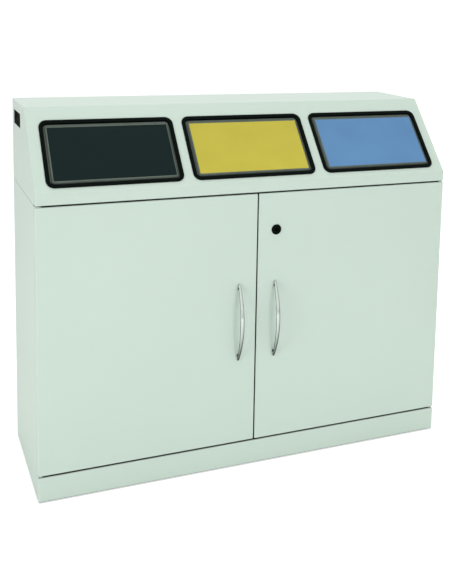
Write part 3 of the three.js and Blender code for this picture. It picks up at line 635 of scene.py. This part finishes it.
def hood_shell():
    notch_y = min(p.y for p in HOOD_POINTS if p.z < CHEEK_BOTTOM + HAIR)
    below = CHEEK_BOTTOM - 20 * MM          # the folded block runs past its foot and is trimmed
    face = [(FRONT, LIP_BOTTOM), (FRONT, LIP_TOP), (SLOPE_TOP_Y, TOP), (BACK, TOP), (BACK, below)]
    outline = [Vector(p) for p in face + [(notch_y, below), (notch_y, LIP_BOTTOM)]]
    radii = [OUTER_RADIUS] * 4 + [0, 0, 0]
    shell = rounded_prism("hood", outline, radii, -HALF, HALF, OUTER_RADIUS)
    inside = moved_right([Vector(p) for p in face], SHEET)
    flange_y = FRONT + LIP_FLANGE
    deep = below - 5 * MM
    core = [Vector((inside[0].x, LIP_BOTTOM + SHEET)), *inside[1:4], Vector((inside[4].x, deep)),
            Vector((flange_y, deep)), Vector((flange_y, LIP_BOTTOM + SHEET))]
    core_radii = [BEND] * 4 + [0, 0, 0]
    hollow = rounded_prism("core", core, core_radii, SHEET - HALF, HALF - SHEET, BEND)
    foot = box_piece((-1, 1), (notch_y - 1 * MM, 1), (below - 0.1, CHEEK_BOTTOM))
    cut(shell, hollow, foot)
    half = (FRAME_US[1] - FRAME_US[0]) / 2 - CUTOUT_INSET
    v0, v1 = FRAME_VS[0] + CUTOUT_INSET, FRAME_VS[1] - CUTOUT_INSET
    radius = FRAME_RADIUS - CUTOUT_INSET
    for u in INLET_US:
        rings = [rectangle_ring(u - half, u + half, v0, v1, radius, n) for n in (-12 * MM, 12 * MM)]
        cut(shell, on_slope(loft("inlet", rings)))
    cut(shell, grip_cutter())
    soften(shell, EDGE, above=60)
    hand_in(shade(shell), "hood", "paint_grey", "hood_shell")


def grip_cutter():
    """The hand holes through both cheeks, read from the CAD hood's inner points."""
    near_cheek = [p for p in HOOD_POINTS if p.x < -HALF + HAIR]
    inner = [
        p for p in near_cheek
        if SLOPE_TOP_Y + 10 * MM < p.y < BACK - 10 * MM and LIP_TOP < p.z < TOP - 5 * MM]
    y0, y1 = min(p.y for p in inner), max(p.y for p in inner)
    z0, z1 = min(p.z for p in inner), max(p.z for p in inner)
    corners = [Vector(p) for p in ((y0, z0), (y1, z0), (y1, z1), (y0, z1))]
    return prism("grip", rounded_path(corners, [3 * MM] * 4, closed=True), "X", -1, 1)


# ------------------------ inlets and flaps

def copies(make, body, slot_name, node):
    """One mesh made for the centre inlet and used at all three; {side} in a name is filled in."""
    first = make()
    for side, u in zip(SIDES, INLET_US):
        piece = first if side == "centre" else first.copy()
        if side != "centre":
            piece.data = first.data.copy()
            to_scene(piece)
            place(piece, Matrix.Translation((u - INLET_US[1], 0, 0)))
        its_node = node.format(side=side)
        piece.name = its_node + "_look"
        slot_of_side = slot_name[side] if isinstance(slot_name, dict) else slot_name
        hand_in(piece, body.format(side=side), slot_of_side, its_node)


def inset_ring(inset, n):
    """The centre inlet's outline, in by that much on all four sides."""
    return rectangle_ring(
        FRAME_US[0] + inset, FRAME_US[1] - inset, FRAME_VS[0] + inset, FRAME_VS[1] - inset,
        FRAME_RADIUS - inset, n)


def quarter_round(outer, size, top, rising, steps=6):
    """Profile points of a rounded edge: (inset, height) from the side to the top, or back down."""
    points = []
    for k in range(steps + 1):
        angle = math.pi / 2 * k / steps
        points.append((outer + size * (1 - math.cos(angle)), top - size * (1 - math.sin(angle))))
    if rising:
        return points
    return [(2 * outer - inset, height) for inset, height in reversed(points)]


def axle_bore():
    return rod(AXLE_BORE, -0.3, 0.3, HINGE_UVN, (1, 0, 0))


def inlet_frame():
    """A domed band with a lip over the flap's edge and a tube through the sheet."""
    crest = FRAME_NS[1]
    profile = [(0, AIR)]
    profile += quarter_round(0, 2.4 * MM, crest, True)
    profile += quarter_round(FRAME_BAND, 2.0 * MM, crest - 0.1 * MM, False)
    profile += [
        (FRAME_BAND, BAND_BACK),
        (TUBE_INSET + TUBE_WALL, BAND_BACK),
        (TUBE_INSET + TUBE_WALL, FRAME_NS[0]),
        (TUBE_INSET, FRAME_NS[0]),
        (TUBE_INSET, AIR),
    ]
    ring = loft("frame", [inset_ring(inset, n) for inset, n in profile], closed=True)
    cut(ring, axle_bore())
    return shade(on_slope(ring), 50)


RIM_US, RIM_VS, _ = slope_box("centre_flap_plate")
INSERT_US, INSERT_VS, INSERT_NS = slope_box("centre_flap_insert")
HINGE_UVN = SLOPE.inverted() @ joint_place("centre_flap_hinge")


def flap_plate():
    """A grey panel that rises with a chamfer from its ledge to the insert, on a stop flange.

    The profiles are in mm: inset and height along the ledge's edge, then spread round the
    insert and height up the chamfer and down into the insert's seat.
    """
    edge = ((0.4, -3.0), (0, -2.6), (0, -0.35), (0.1, -0.12), (0.3, 0))
    rings = [inset_ring(LEDGE_INSET + inset * MM, LEDGE_TOP + n * MM) for inset, n in edge]
    rise = (INSERT_NS[1] - LEDGE_TOP) / MM
    floor = (INSERT_NS[0] - LEDGE_TOP) / MM - 0.3
    climb = ((6.2, 0), (5.8, 0.12), (5.3, 0.5), (3.2, 2.7), (1.0, rise - 0.5), (0.75, rise - 0.18),
             (0.5, rise), (0.25, rise), (0, rise - 0.2), (0, floor))
    for spread, n in climb:
        reach = spread * MM + AIR
        rings.append(rectangle_ring(
            INSERT_US[0] - reach, INSERT_US[1] + reach, INSERT_VS[0] - reach, INSERT_VS[1] + reach,
            0.3 * MM + spread * MM, LEDGE_TOP + n * MM))
    plate = loft("plate", rings)
    stop_top = HINGE_UVN.y + 2 * MM
    stops = []
    for inset, n in ((0.4, -2.8), (0, -2.4), (0, -0.5), (0.3, -0.2)):
        stops.append(rectangle_ring(
            RIM_US[0] + inset * MM, RIM_US[1] - inset * MM, RIM_VS[0] + inset * MM,
            stop_top - inset * MM, STOP_RADIUS - inset * MM, LEDGE_TOP + n * MM))
    join(plate, loft("stop", stops))
    half = (FRAME_US[1] - FRAME_US[0]) / 2 - LEDGE_INSET - EAR_INSET
    for u in (HINGE_UVN.x - half, HINGE_UVN.x + half):
        ear = box_piece(
            (u - 3 * MM, u + 3 * MM), (HINGE_UVN.y - 7 * MM, HINGE_UVN.y + 7 * MM),
            (HINGE_UVN.z - 6 * MM, LEDGE_TOP - 2.5 * MM))
        soften(ear, 1.2 * MM, steps=3)
        join(plate, ear)
    cut(plate, axle_bore())
    return shade(on_slope(plate), 30)


def flap_insert():
    sheet = box_piece(INSERT_US, INSERT_VS, INSERT_NS)
    soften(sheet, 0.25 * MM, steps=3)
    return shade(on_slope(sheet))


def flap_axle():
    half = (FRAME_US[1] - FRAME_US[0]) / 2 - TUBE_INSET
    radius, chamfer = AXLE_RADIUS, 0.5 * MM
    profile = [(radius - chamfer, -half), (radius, chamfer - half), (radius, half - chamfer),
               (radius - chamfer, half)]
    return shade(on_slope(lathe("axle", profile, HINGE_UVN, (1, 0, 0), 32)))


def flap_spring():
    """A torsion coil round the axle with its long leg on the flap."""
    turns, pitch, coil, leg = 4, 2.4 * MM, 4.7 * MM, 42 * MM
    start = HINGE_UVN + Vector((100 * MM, 0, 0))
    path = [start + Vector((0, -leg * (1 - k / 6), coil)) for k in range(6)]
    for k in range(turns * 20 + 1):
        angle = 2 * math.pi * k / 20
        turned = Vector((pitch * k / 20, coil * math.sin(angle), coil * math.cos(angle)))
        path.append(start + turned)
    return shade(on_slope(tube("spring", path, 0.6 * MM, 8)), 60)


def build_hood_and_flaps():
    hood_shell()
    copies(inlet_frame, "hood", "black_plastic", "{side}_inlet_frame")
    copies(flap_axle, "hood", "zinc", "{side}_flap_axle")
    copies(flap_plate, "{side}_flap", "grey_plastic", "{side}_flap_plate")
    copies(flap_insert, "{side}_flap", INSERT_SLOTS, "{side}_flap_insert")
    copies(flap_spring, "{side}_flap", "spring_steel", "{side}_flap_spring")


# ------------------------ cabinet sheets

def from_cad(node, slot_name, width):
    """Keeps a CAD node and rounds its edges."""
    piece = frame["nodes"][node]
    weld = piece.modifiers.new("weld", "WELD")
    weld.merge_threshold = 0.01 * MM
    flat = piece.modifiers.new("flat", "DECIMATE")
    flat.decimate_type = "DISSOLVE"
    flat.angle_limit = math.radians(1)
    bevel = piece.modifiers.new("soften", "BEVEL")
    bevel.width = width
    bevel.segments = 2
    bevel.limit_method = "ANGLE"
    bevel.angle_limit = math.radians(40)
    piece.data.materials.clear()
    piece.data.materials.append(MATERIALS[slot_name])


def side_panel(side, hand):
    node = f"{side}_side_panel"
    front, rear = low(node).y, high(node).y
    outer = hand * HALF
    path = [
        (outer - hand * SIDE_FLANGE_FRONT, front), (outer, front),
        (outer, rear), (outer - hand * SIDE_FLANGE_REAR, rear)]
    if hand > 0:
        path.reverse()
    piece = folded(node + "_look", path, "Z", low(node).z, high(node).z)
    hand_in_sheet(piece, "cabinet", "paint_grey", node)


def node_box(node):
    """A block as big as the CAD node."""
    a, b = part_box(node)
    return box_piece((a.x, b.x), (a.y, b.y), (a.z, b.z), node + "_look")


def back_panel():
    piece = node_box("back_panel")
    hand_in(shade(soften(piece, EDGE)), "cabinet", "paint_grey", "back_panel")


def floor_panel():
    a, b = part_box("floor_panel")
    path = [(a.y, a.z), (a.y, b.z), (b.y, b.z), (b.y, a.z)]
    piece = folded("floor_panel_look", path, "X", a.x, b.x)
    hand_in_sheet(piece, "cabinet", "paint_grey", "floor_panel")


def pivot_bore(hand, z, radius):
    hinge = joint_place("left_door_hinge" if hand < 0 else "right_door_hinge")
    return rod(radius, -6 * MM, 6 * MM, Vector((hinge.x, hinge.y, z)), (0, 0, 1))


def plinth_front():
    a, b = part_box("plinth_front")
    piece = node_box("plinth_front")
    soften(piece, OUTER_RADIUS, steps=4)
    hollow = box_piece(
        (a.x + SHEET, b.x - SHEET), (a.y + SHEET, b.y + SHEET), (a.z - SHEET, b.z - SHEET))
    cut(piece, hollow, pivot_bore(-1, b.z, PIN_BORE), pivot_bore(1, b.z, PIN_BORE))
    hand_in_sheet(piece, "cabinet", "paint_grey", "plinth_front")


def top_front_rail():
    """A channel behind the doors' top edge, with an arm at each end that holds a top pin."""
    front_web = low("lock_strike").y - 0.5 * MM - SHEET
    side_top = high("left_side_panel").z
    below = side_top - RAIL_DEPTH
    a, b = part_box("top_front_rail")
    path = [(b.y, below), (front_web, below), (front_web, side_top), (b.y, side_top)]
    rail = folded("top_front_rail_look", path, "X", a.x, b.x)
    for hand in (-1, 1):
        xs = sorted((hand * b.x, hand * (b.x - RAIL_ARM)))
        reach = box_piece(xs, (a.y, front_web + 20 * MM), (side_top + AIR, b.z))
        root_ys = (front_web + 4 * MM, front_web + 20 * MM)
        root = box_piece(xs, root_ys, (side_top - MM, b.z - HAIR))
        join(rail, reach, root)
        cut(rail, pivot_bore(hand, b.z, PIN_BORE))
    hand_in_sheet(rail, "cabinet", "paint_grey", "top_front_rail")


def top_rear_rail():
    """An angle along the back with two tabs that stand up inside the hood."""
    side_top = high("left_side_panel").z
    a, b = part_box("top_rear_rail")
    path = [(a.y, side_top), (b.y, side_top), (b.y, a.z), (a.y, a.z)]
    rail = folded("top_rear_rail_look", path, "X", a.x, b.x)
    for x in (-TAB_PLACE, TAB_PLACE):
        xs = (x - TAB_WIDTH / 2, x + TAB_WIDTH / 2)
        join(rail, box_piece(xs, (b.y - SHEET, b.y), (side_top - 6 * MM, b.z)))
    hand_in_sheet(rail, "cabinet", "paint_grey", "top_rear_rail")


def feet():
    for end in ("front", "rear"):
        for side, _ in HANDS:
            node = f"foot_{end}_{side}"
            base = Vector((middle(node).x, middle(node).y, 0))
            top = high(node).z
            profile = [(radius * MM, z * MM) for radius, z in FOOT_PROFILE]
            profile += [(4 * MM, top - MM), (3.2 * MM, top)]
            foot = lathe(node + "_look", profile, base, (0, 0, 1))
            hand_in(shade(foot), "cabinet", "black_plastic", node)


def bin_guides_and_catches():
    for side, _ in HANDS:
        node = f"bin_guide_{side}"
        a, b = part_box(node)
        path = [(a.x, a.z), (a.x, b.z), (b.x, b.z), (b.x, a.z)]
        piece = folded(node + "_look", path, "Y", a.y, b.y)
        hand_in_sheet(piece, "cabinet", "galvanised", node)
        from_cad(f"magnetic_catch_{side}", "black_plastic", 0.8 * MM)


def lock_strike():
    a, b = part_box("lock_strike")
    path = [(a.y, a.z), (a.y, b.z), (b.y, b.z)]
    piece = folded("lock_strike_look", path, "X", a.x, b.x)
    hand_in_sheet(piece, "cabinet", "zinc", "lock_strike")


def build_cabinet():
    for side, hand in HANDS:
        side_panel(side, hand)
    back_panel()
    floor_panel()
    plinth_front()
    top_front_rail()
    top_rear_rail()
    feet()
    bin_guides_and_catches()
    lock_strike()


# ------------------------ doors

def screw_places(side):
    at = middle(f"{side}_door_handle")
    return [Vector((at.x, FRONT, at.z + end * HANDLE_HOLES / 2)) for end in (-1, 1)]


def door_pan(side, hand):
    node = f"{side}_door_pan"
    a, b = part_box(node)
    pan = node_box(node)
    soften(pan, OUTER_RADIUS, steps=4)
    hollow = box_piece(
        (a.x + SHEET, b.x - SHEET), (a.y + SHEET, b.y - SHEET), (a.z + SHEET, b.z - SHEET))
    window = box_piece(
        (a.x + DOOR_EDGE_LIP, b.x - DOOR_EDGE_LIP), (b.y - 5 * MM, b.y + 5 * MM),
        (a.z + DOOR_EDGE_LIP, b.z - DOOR_TOP_LIP))
    cut(pan, hollow, window)
    for z in (a.z, b.z):
        cut(pan, pivot_bore(hand, z, BUSH_HOLE))
    for at in screw_places(side):
        cut(pan, rod(SCREW_HOLE, -3 * MM, 5 * MM, at, (0, 1, 0), 24))
    if hand > 0:
        at = middle("lock_housing")
        at.y = FRONT
        cut(pan, rod(BARREL_HOLE, -3 * MM, 5 * MM, at, (0, 1, 0), 48))
    soften(pan, EDGE, above=60)
    hand_in(shade(pan), f"{side}_door", "paint_grey", node)


def door_stiffener(side):
    node = f"{side}_door_stiffener"
    a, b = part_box(node)
    inner = 15 * MM
    rear = b.y - SHEET
    path = [(b.x, a.y), (b.x - inner, a.y), (b.x - inner, rear),
            (a.x + inner, rear), (a.x + inner, a.y), (a.x, a.y)]
    piece = folded(node + "_look", path, "Z", a.z, b.z)
    hand_in_sheet(piece, f"{side}_door", "paint_grey", node)


def bow_section(at, out, half_wide, half_thick, sides=28):
    """A flat oval with squarish shoulders, across X and along `out`."""
    ring = []
    for s in range(sides):
        angle = 2 * math.pi * s / sides
        c, d = math.cos(angle), math.sin(angle)
        wide = math.copysign(abs(c) ** BOW_SQUARE, c) * half_wide
        thick = math.copysign(abs(d) ** BOW_SQUARE, d) * half_thick
        ring.append(at + Vector((1, 0, 0)) * wide + out * thick)
    return ring


def door_handle(side, steps=56):
    """An arched bow of flat oval section that narrows towards its rounded tips."""
    node = f"{side}_door_handle"
    a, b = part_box(node)
    centre = (a + b) / 2
    half_length = (b.z - a.z) / 2
    rise = FRONT - a.y - BOW_CROWN_INSET - BOW_FOOT
    rings = []
    for k in range(steps + 1):
        along = -math.cos(math.pi * k / steps)
        swell = max(1 - along * along, 0)
        slope = -2 * along * rise / half_length
        run = Vector((0, -slope, 1)).normalized()
        out = Vector((0, -run.z, run.y))
        to_tip = max(1 - abs(along), 0) * half_length
        end_round = min(1, math.sqrt(to_tip * 2 / BOW_TIP_ROUND + 1e-4))
        half_wide, half_thick = (
            (tip + gain * math.sqrt(swell)) * end_round for tip, gain in zip(BOW_TIP, BOW_SWELL))
        at = Vector((
            centre.x, FRONT - BOW_FOOT - rise * swell, centre.z + along * half_length * 0.999))
        rings.append(bow_section(at, out, half_wide, half_thick))
    bow = loft(node + "_look", rings)
    for at in screw_places(side):
        join(bow, rod(POST_RADIUS, AIR, 9.5 * MM, at, (0, -1, 0)))
        cut(bow, rod(SCREW_HOLE, -2 * MM, 6.5 * MM, at, (0, -1, 0), 24))
    hand_in(shade(bow, 40), f"{side}_door", "satin_nickel", node)


def handle_screws(side):
    """Cross-head screws through the door's face into the handle."""
    for end, at in zip(("bottom", "top"), screw_places(side)):
        node = f"{side}_handle_screw_{end}"
        start = SHEET + AIR
        profile = [
            (2 * MM, -6 * MM), (2 * MM, start), (4 * MM, start), (4 * MM, start + 1.2 * MM),
            (3.4 * MM, start + 2 * MM), (2.2 * MM, start + 2.5 * MM), (0.8 * MM, start + 2.6 * MM)]
        screw = lathe(node + "_look", profile, at, (0, 1, 0), 32)
        top = at.y + start + 3 * MM
        for wide, tall in ((2.2 * MM, 0.5 * MM), (0.5 * MM, 2.2 * MM)):
            cut(screw, box_piece(
                (at.x - wide, at.x + wide), (top - 1.6 * MM, top), (at.z - tall, at.z + tall)))
        hand_in(shade(screw), f"{side}_door", "zinc", node)


def door_hinge(side):
    hinge = joint_place(f"{side}_door_hinge")
    for end in ("bottom", "top"):
        bush(side, end, hinge)
        pivot_pin(side, end, hinge)


def bush(side, end, hinge):
    node = f"{side}_door_bush_{end}"
    a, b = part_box(node)
    up = 1 if end == "bottom" else -1
    base = Vector((hinge.x, hinge.y, a.z if end == "bottom" else b.z))
    length = b.z - a.z
    bore, sleeve, flange = PIN_BORE, 4.8 * MM, 6.3 * MM
    step = SHEET + AIR - 0.1 * MM
    chamfer, thick = 0.3 * MM, 1.5 * MM
    outline = [
        (bore, 0), (sleeve - chamfer, 0), (sleeve, chamfer), (sleeve, step), (flange, step),
        (flange, step + thick), (sleeve, step + thick), (sleeve, length - chamfer),
        (sleeve - chamfer, length), (bore, length)]
    piece = lathe(node + "_look", outline, base, (0, 0, up), 40, closed=True)
    hand_in(shade(piece), f"{side}_door", "nylon", node)


def pivot_pin(side, end, hinge):
    node = f"{side}_pivot_pin_{end}"
    a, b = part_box(node)
    shaft, head = 3 * MM, 5 * MM
    length = b.z - a.z
    if end == "top":
        head_from = length - 0.9 * MM
        profile = [(shaft - 0.6 * MM, 0), (shaft, 0.8 * MM), (shaft, head_from), (head, head_from),
                   (head, length - 0.3 * MM), (head - 0.3 * MM, length)]
    else:
        shoulder_from = high("plinth_front").z + AIR - a.z
        shoulder_to = low("left_door_pan").z - 0.5 * MM - a.z
        profile = [(head - 0.3 * MM, 0), (head, 0.3 * MM), (head, 2 * MM), (shaft, 2 * MM),
                   (shaft, shoulder_from), (head, shoulder_from), (head, shoulder_to - 0.3 * MM),
                   (head - 0.3 * MM, shoulder_to), (shaft, shoulder_to), (shaft, length - 0.8 * MM),
                   (shaft - 0.6 * MM, length)]
    piece = lathe(node + "_look", profile, Vector((hinge.x, hinge.y, a.z)), (0, 0, 1), 32)
    hand_in(shade(piece), "cabinet", "zinc", node)


# ------------------------ lock

def lock_housing(x, z):
    """A rosette with a dished face on a barrel that runs through the door."""
    a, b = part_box("lock_housing")
    thick, radius, barrel, bore = 3.2 * MM, 14.5 * MM, 9 * MM, 6.8 * MM
    length = b.y - a.y
    outline = [
        (bore, 0.9 * MM), (bore + 0.5 * MM, 0.35 * MM), (bore + 1.6 * MM, 0.1 * MM),
        (radius - 3 * MM, 0), (radius - 1.4 * MM, 0.4 * MM), (radius - 0.4 * MM, 1.4 * MM),
        (radius, 2.4 * MM), (radius, thick), (barrel, thick), (barrel, length), (bore, length)]
    piece = lathe("lock_housing_look", outline, Vector((x, a.y, z)), (0, 1, 0), 64, closed=True)
    hand_in(shade(piece, 45), "right_door", "black_plastic", "lock_housing")


def lock_nut(x, z):
    base = Vector((x, low("lock_nut").y, z))
    across, thick, chamfer = 13 * MM, 4 * MM, 0.5 * MM
    profile = [(across - 0.6 * MM, 0), (across, chamfer), (across, thick - chamfer),
               (across - 0.6 * MM, thick)]
    hexagon = lathe("lock_nut_look", profile, base, (0, 1, 0), 6)
    cut(hexagon, rod(BARREL_HOLE, -MM, 5 * MM, base, (0, 1, 0), 48))
    hand_in(shade(soften(hexagon, EDGE)), "right_door", "zinc", "lock_nut")


def lock_cylinder(x, z):
    """The plug: a keyway in its face and a thinner tail through the cam."""
    a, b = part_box("lock_cylinder")
    length = b.y - a.y
    shoulder = low("lock_cam").y - AIR - a.y
    profile = [
        (5.4 * MM, 0), (6.2 * MM, 0.3 * MM), (6.5 * MM, 0.9 * MM), (6.5 * MM, shoulder),
        (4.5 * MM, shoulder), (4.5 * MM, length - 0.4 * MM), (4.1 * MM, length)]
    plug = lathe("lock_cylinder_look", profile, Vector((x, a.y, z)), (0, 1, 0), 48)
    keyway = ((x - 0.9 * MM, x + 0.9 * MM), (a.y - MM, a.y + 8 * MM), (z - 4 * MM, z + 4 * MM))
    cut(plug, box_piece(*keyway))
    hand_in(shade(soften(plug, 0.15 * MM)), "lock_plug", "black_zinc", "lock_cylinder")


def build_lock():
    at = middle("lock_housing")
    lock_housing(at.x, at.z)
    lock_nut(at.x, at.z)
    lock_cylinder(at.x, at.z)
    from_cad("lock_cam", "zinc", 0.5 * MM)


def build_doors():
    for side, hand in HANDS:
        door_pan(side, hand)
        door_stiffener(side)
        door_handle(side)
        handle_screws(side)
        door_hinge(side)
    build_lock()


# ------------------------ inner bins and bails

def inner_bin(side):
    node = f"{side}_inner_bin"
    a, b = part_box(node)
    x0, x1, y0, y1 = a.x + BIN_RIM, b.x - BIN_RIM, a.y + BIN_RIM, b.y - BIN_RIM
    top, base = b.z, a.z

    def ring(inset, z):
        return rectangle_ring(
            x0 + inset, x1 - inset, y0 + inset, y1 - inset, BIN_CORNER - inset, z, steps=6)

    rings = [
        ring(1.5 * MM, base),
        ring(0.4 * MM, base + 0.4 * MM),
        ring(0, base + 1.5 * MM),
        ring(0, base + 200 * MM),
        ring(0, top - 6.5 * MM),
        ring(-3.2 * MM, top - 6 * MM),
        ring(-BIN_RIM, top - 5.2 * MM),
        ring(-BIN_RIM, top - 1.6 * MM),
        ring(-BIN_RIM + 0.8 * MM, top - 0.4 * MM),
        ring(-BIN_RIM + 2 * MM, top),
        ring(0.6 * MM, top),
        ring(1.3 * MM, top - 0.5 * MM),
        ring(SHEET, top - 1.4 * MM),
        ring(SHEET, base + SHEET + 1.2 * MM),
        ring(SHEET + 1.2 * MM, base + SHEET),
    ]
    body = loft(node + "_look", rings)
    pivot = joint_place(f"{side}_bail_swing")
    cut(body, rod(BAIL_HOLE, -0.25, 0.25, pivot, (1, 0, 0)))
    hand_in(shade(body, 40), "cabinet", "galvanised", node)


def bin_bail(side):
    node = f"{side}_bin_bail"
    a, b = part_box(node)
    half = (b.x - a.x) / 2 - BAIL_ROD
    inside = (high(f"{side}_inner_bin").x - low(f"{side}_inner_bin").x) / 2 - BIN_RIM - 5 * MM
    corners = [Vector(p) for p in (
        (-inside, 0), (-half, 0), (-half, BAIL_ARM), (half, BAIL_ARM), (half, 0), (inside, 0))]
    flat = rounded_path(corners, [0, 4 * MM, 8 * MM, 8 * MM, 4 * MM, 0], steps=6)
    path = [Vector((p.x, p.y, 0)) for p in flat]
    bail = tube(node + "_look", path, BAIL_ROD, 20)
    pivot = joint_place(f"{side}_bail_swing")
    place(bail, Matrix.Translation(pivot) @ Matrix.Rotation(-BAIL_DROP, 4, "X"))
    hand_in(shade(bail, 60), f"{side}_bail", "zinc", node)


def build_bins():
    for side in SIDES:
        inner_bin(side)
        bin_bail(side)


# ------------------------ stage

def build_world():
    """White to the camera, softer as a light, and a little brighter at the back in reflections."""
    world = bpy.data.worlds.new("studio")
    bpy.context.scene.world = world
    world.use_nodes = True
    nodes, link = world.node_tree.nodes, world.node_tree.links.new
    seen = nodes["Background"]
    seen.inputs["Color"].default_value = (1, 1, 1, 1)
    seen.inputs["Strength"].default_value = WORLD_SEEN
    lighting = nodes.new("ShaderNodeBackground")
    lighting.inputs["Color"].default_value = (1, 1, 1, 1)
    lighting.inputs["Strength"].default_value = WORLD_LIGHT
    mirrored = nodes.new("ShaderNodeBackground")
    direction = nodes.new("ShaderNodeTexCoord")
    split = nodes.new("ShaderNodeSeparateXYZ")
    link(direction.outputs["Generated"], split.inputs["Vector"])
    bands = nodes.new("ShaderNodeValToRGB")
    for stop, (position, color) in zip(bands.color_ramp.elements, (MIRRORED_FRONT, MIRRORED_BACK)):
        stop.position = position
        stop.color = color
    half = nodes.new("ShaderNodeMapRange")
    half.inputs["From Min"].default_value = -1
    link(split.outputs["Y"], half.inputs["Value"])
    link(half.outputs["Result"], bands.inputs["Fac"])
    link(bands.outputs["Color"], mirrored.inputs["Color"])
    rays = nodes.new("ShaderNodeLightPath")
    glossy = nodes.new("ShaderNodeMixShader")
    link(rays.outputs["Is Glossy Ray"], glossy.inputs["Fac"])
    link(lighting.outputs["Background"], glossy.inputs[1])
    link(mirrored.outputs["Background"], glossy.inputs[2])
    final = nodes.new("ShaderNodeMixShader")
    link(rays.outputs["Is Camera Ray"], final.inputs["Fac"])
    link(glossy.outputs["Shader"], final.inputs[1])
    link(seen.outputs["Background"], final.inputs[2])
    link(final.outputs["Shader"], nodes["World Output"].inputs["Surface"])


def build_stage():
    reach = FLOOR_REACH
    corners = [(-reach, -reach, 0), (reach, -reach, 0), (reach, reach, 0), (-reach, reach, 0)]
    floor = new_piece("floor", corners, [(0, 1, 2, 3)])
    paper = Finish("paper", PAPER, 0.95, specular=0.0)
    paper.vary_color(paper.noise(0.6), 0.004)
    rays = paper.add("LightPath")
    lift = paper.add("Math")
    lift.operation = "MULTIPLY"
    lift.inputs[1].default_value = FLOOR_LIFT
    paper.link(rays.outputs["Is Camera Ray"], lift.inputs[0])
    paper.link(lift.outputs["Value"], paper.shader.inputs["Emission Strength"])
    paper.shader.inputs["Emission Color"].default_value = (1, 1, 1, 1)
    floor.data.materials.append(paper.material)
    build_world()
    for light in LIGHTS:
        add_light(*light)


def add_light(name, at, towards, size, watts):
    data = bpy.data.lights.new(name, "AREA")
    data.energy = watts
    data.size = size
    lamp = to_scene(bpy.data.objects.new(name, data))
    lamp.visible_glossy = False
    lamp.location = at
    lamp.rotation_euler = (Vector(towards) - Vector(at)).to_track_quat("-Z", "Y").to_euler()


def add_camera():
    """Left of the station and a little above it, with the picture's centre shifted."""
    data = bpy.data.cameras.new("camera")
    data.sensor_width = 36
    data.lens = CAMERA_LENS
    camera = to_scene(bpy.data.objects.new("camera", data))
    camera.location = CAMERA_PLACE
    yaw = Matrix.Rotation(-CAMERA_YAW, 3, "Z")
    pitch = Matrix.Rotation(math.pi / 2 + CAMERA_PITCH, 3, "X")
    roll = Matrix.Rotation(CAMERA_ROLL, 3, "Z")
    camera.rotation_euler = (yaw @ pitch @ roll).to_euler()
    bpy.context.scene.camera = camera
    mark = to_scene(bpy.data.objects.new("camera_place", None))
    mark.location = CAMERA_PLACE
    for channel, shift in CAMERA_SHIFT.items():
        shift_when_home(camera, mark, channel, shift)


def shift_when_home(camera, mark, channel, shift):
    """Shifts the lens only while the camera stands on its mark, so other views stay centred."""
    curve = camera.data.driver_add(channel)
    for change in list(curve.modifiers):
        curve.modifiers.remove(change)
    curve.keyframe_points.add(2)
    curve.keyframe_points[0].co = (0, shift)
    curve.keyframe_points[1].co = (10 * MM, 0)
    for key in curve.keyframe_points:
        key.interpolation = "LINEAR"
    curve.driver.type = "SUM"
    gap = curve.driver.variables.new()
    gap.type = "LOC_DIFF"
    gap.targets[0].id = camera
    gap.targets[1].id = mark


build_hood_and_flaps()
build_cabinet()
build_doors()
build_bins()
build_stage()
add_camera()
bpy.context.scene.view_settings.view_transform = "Standard"
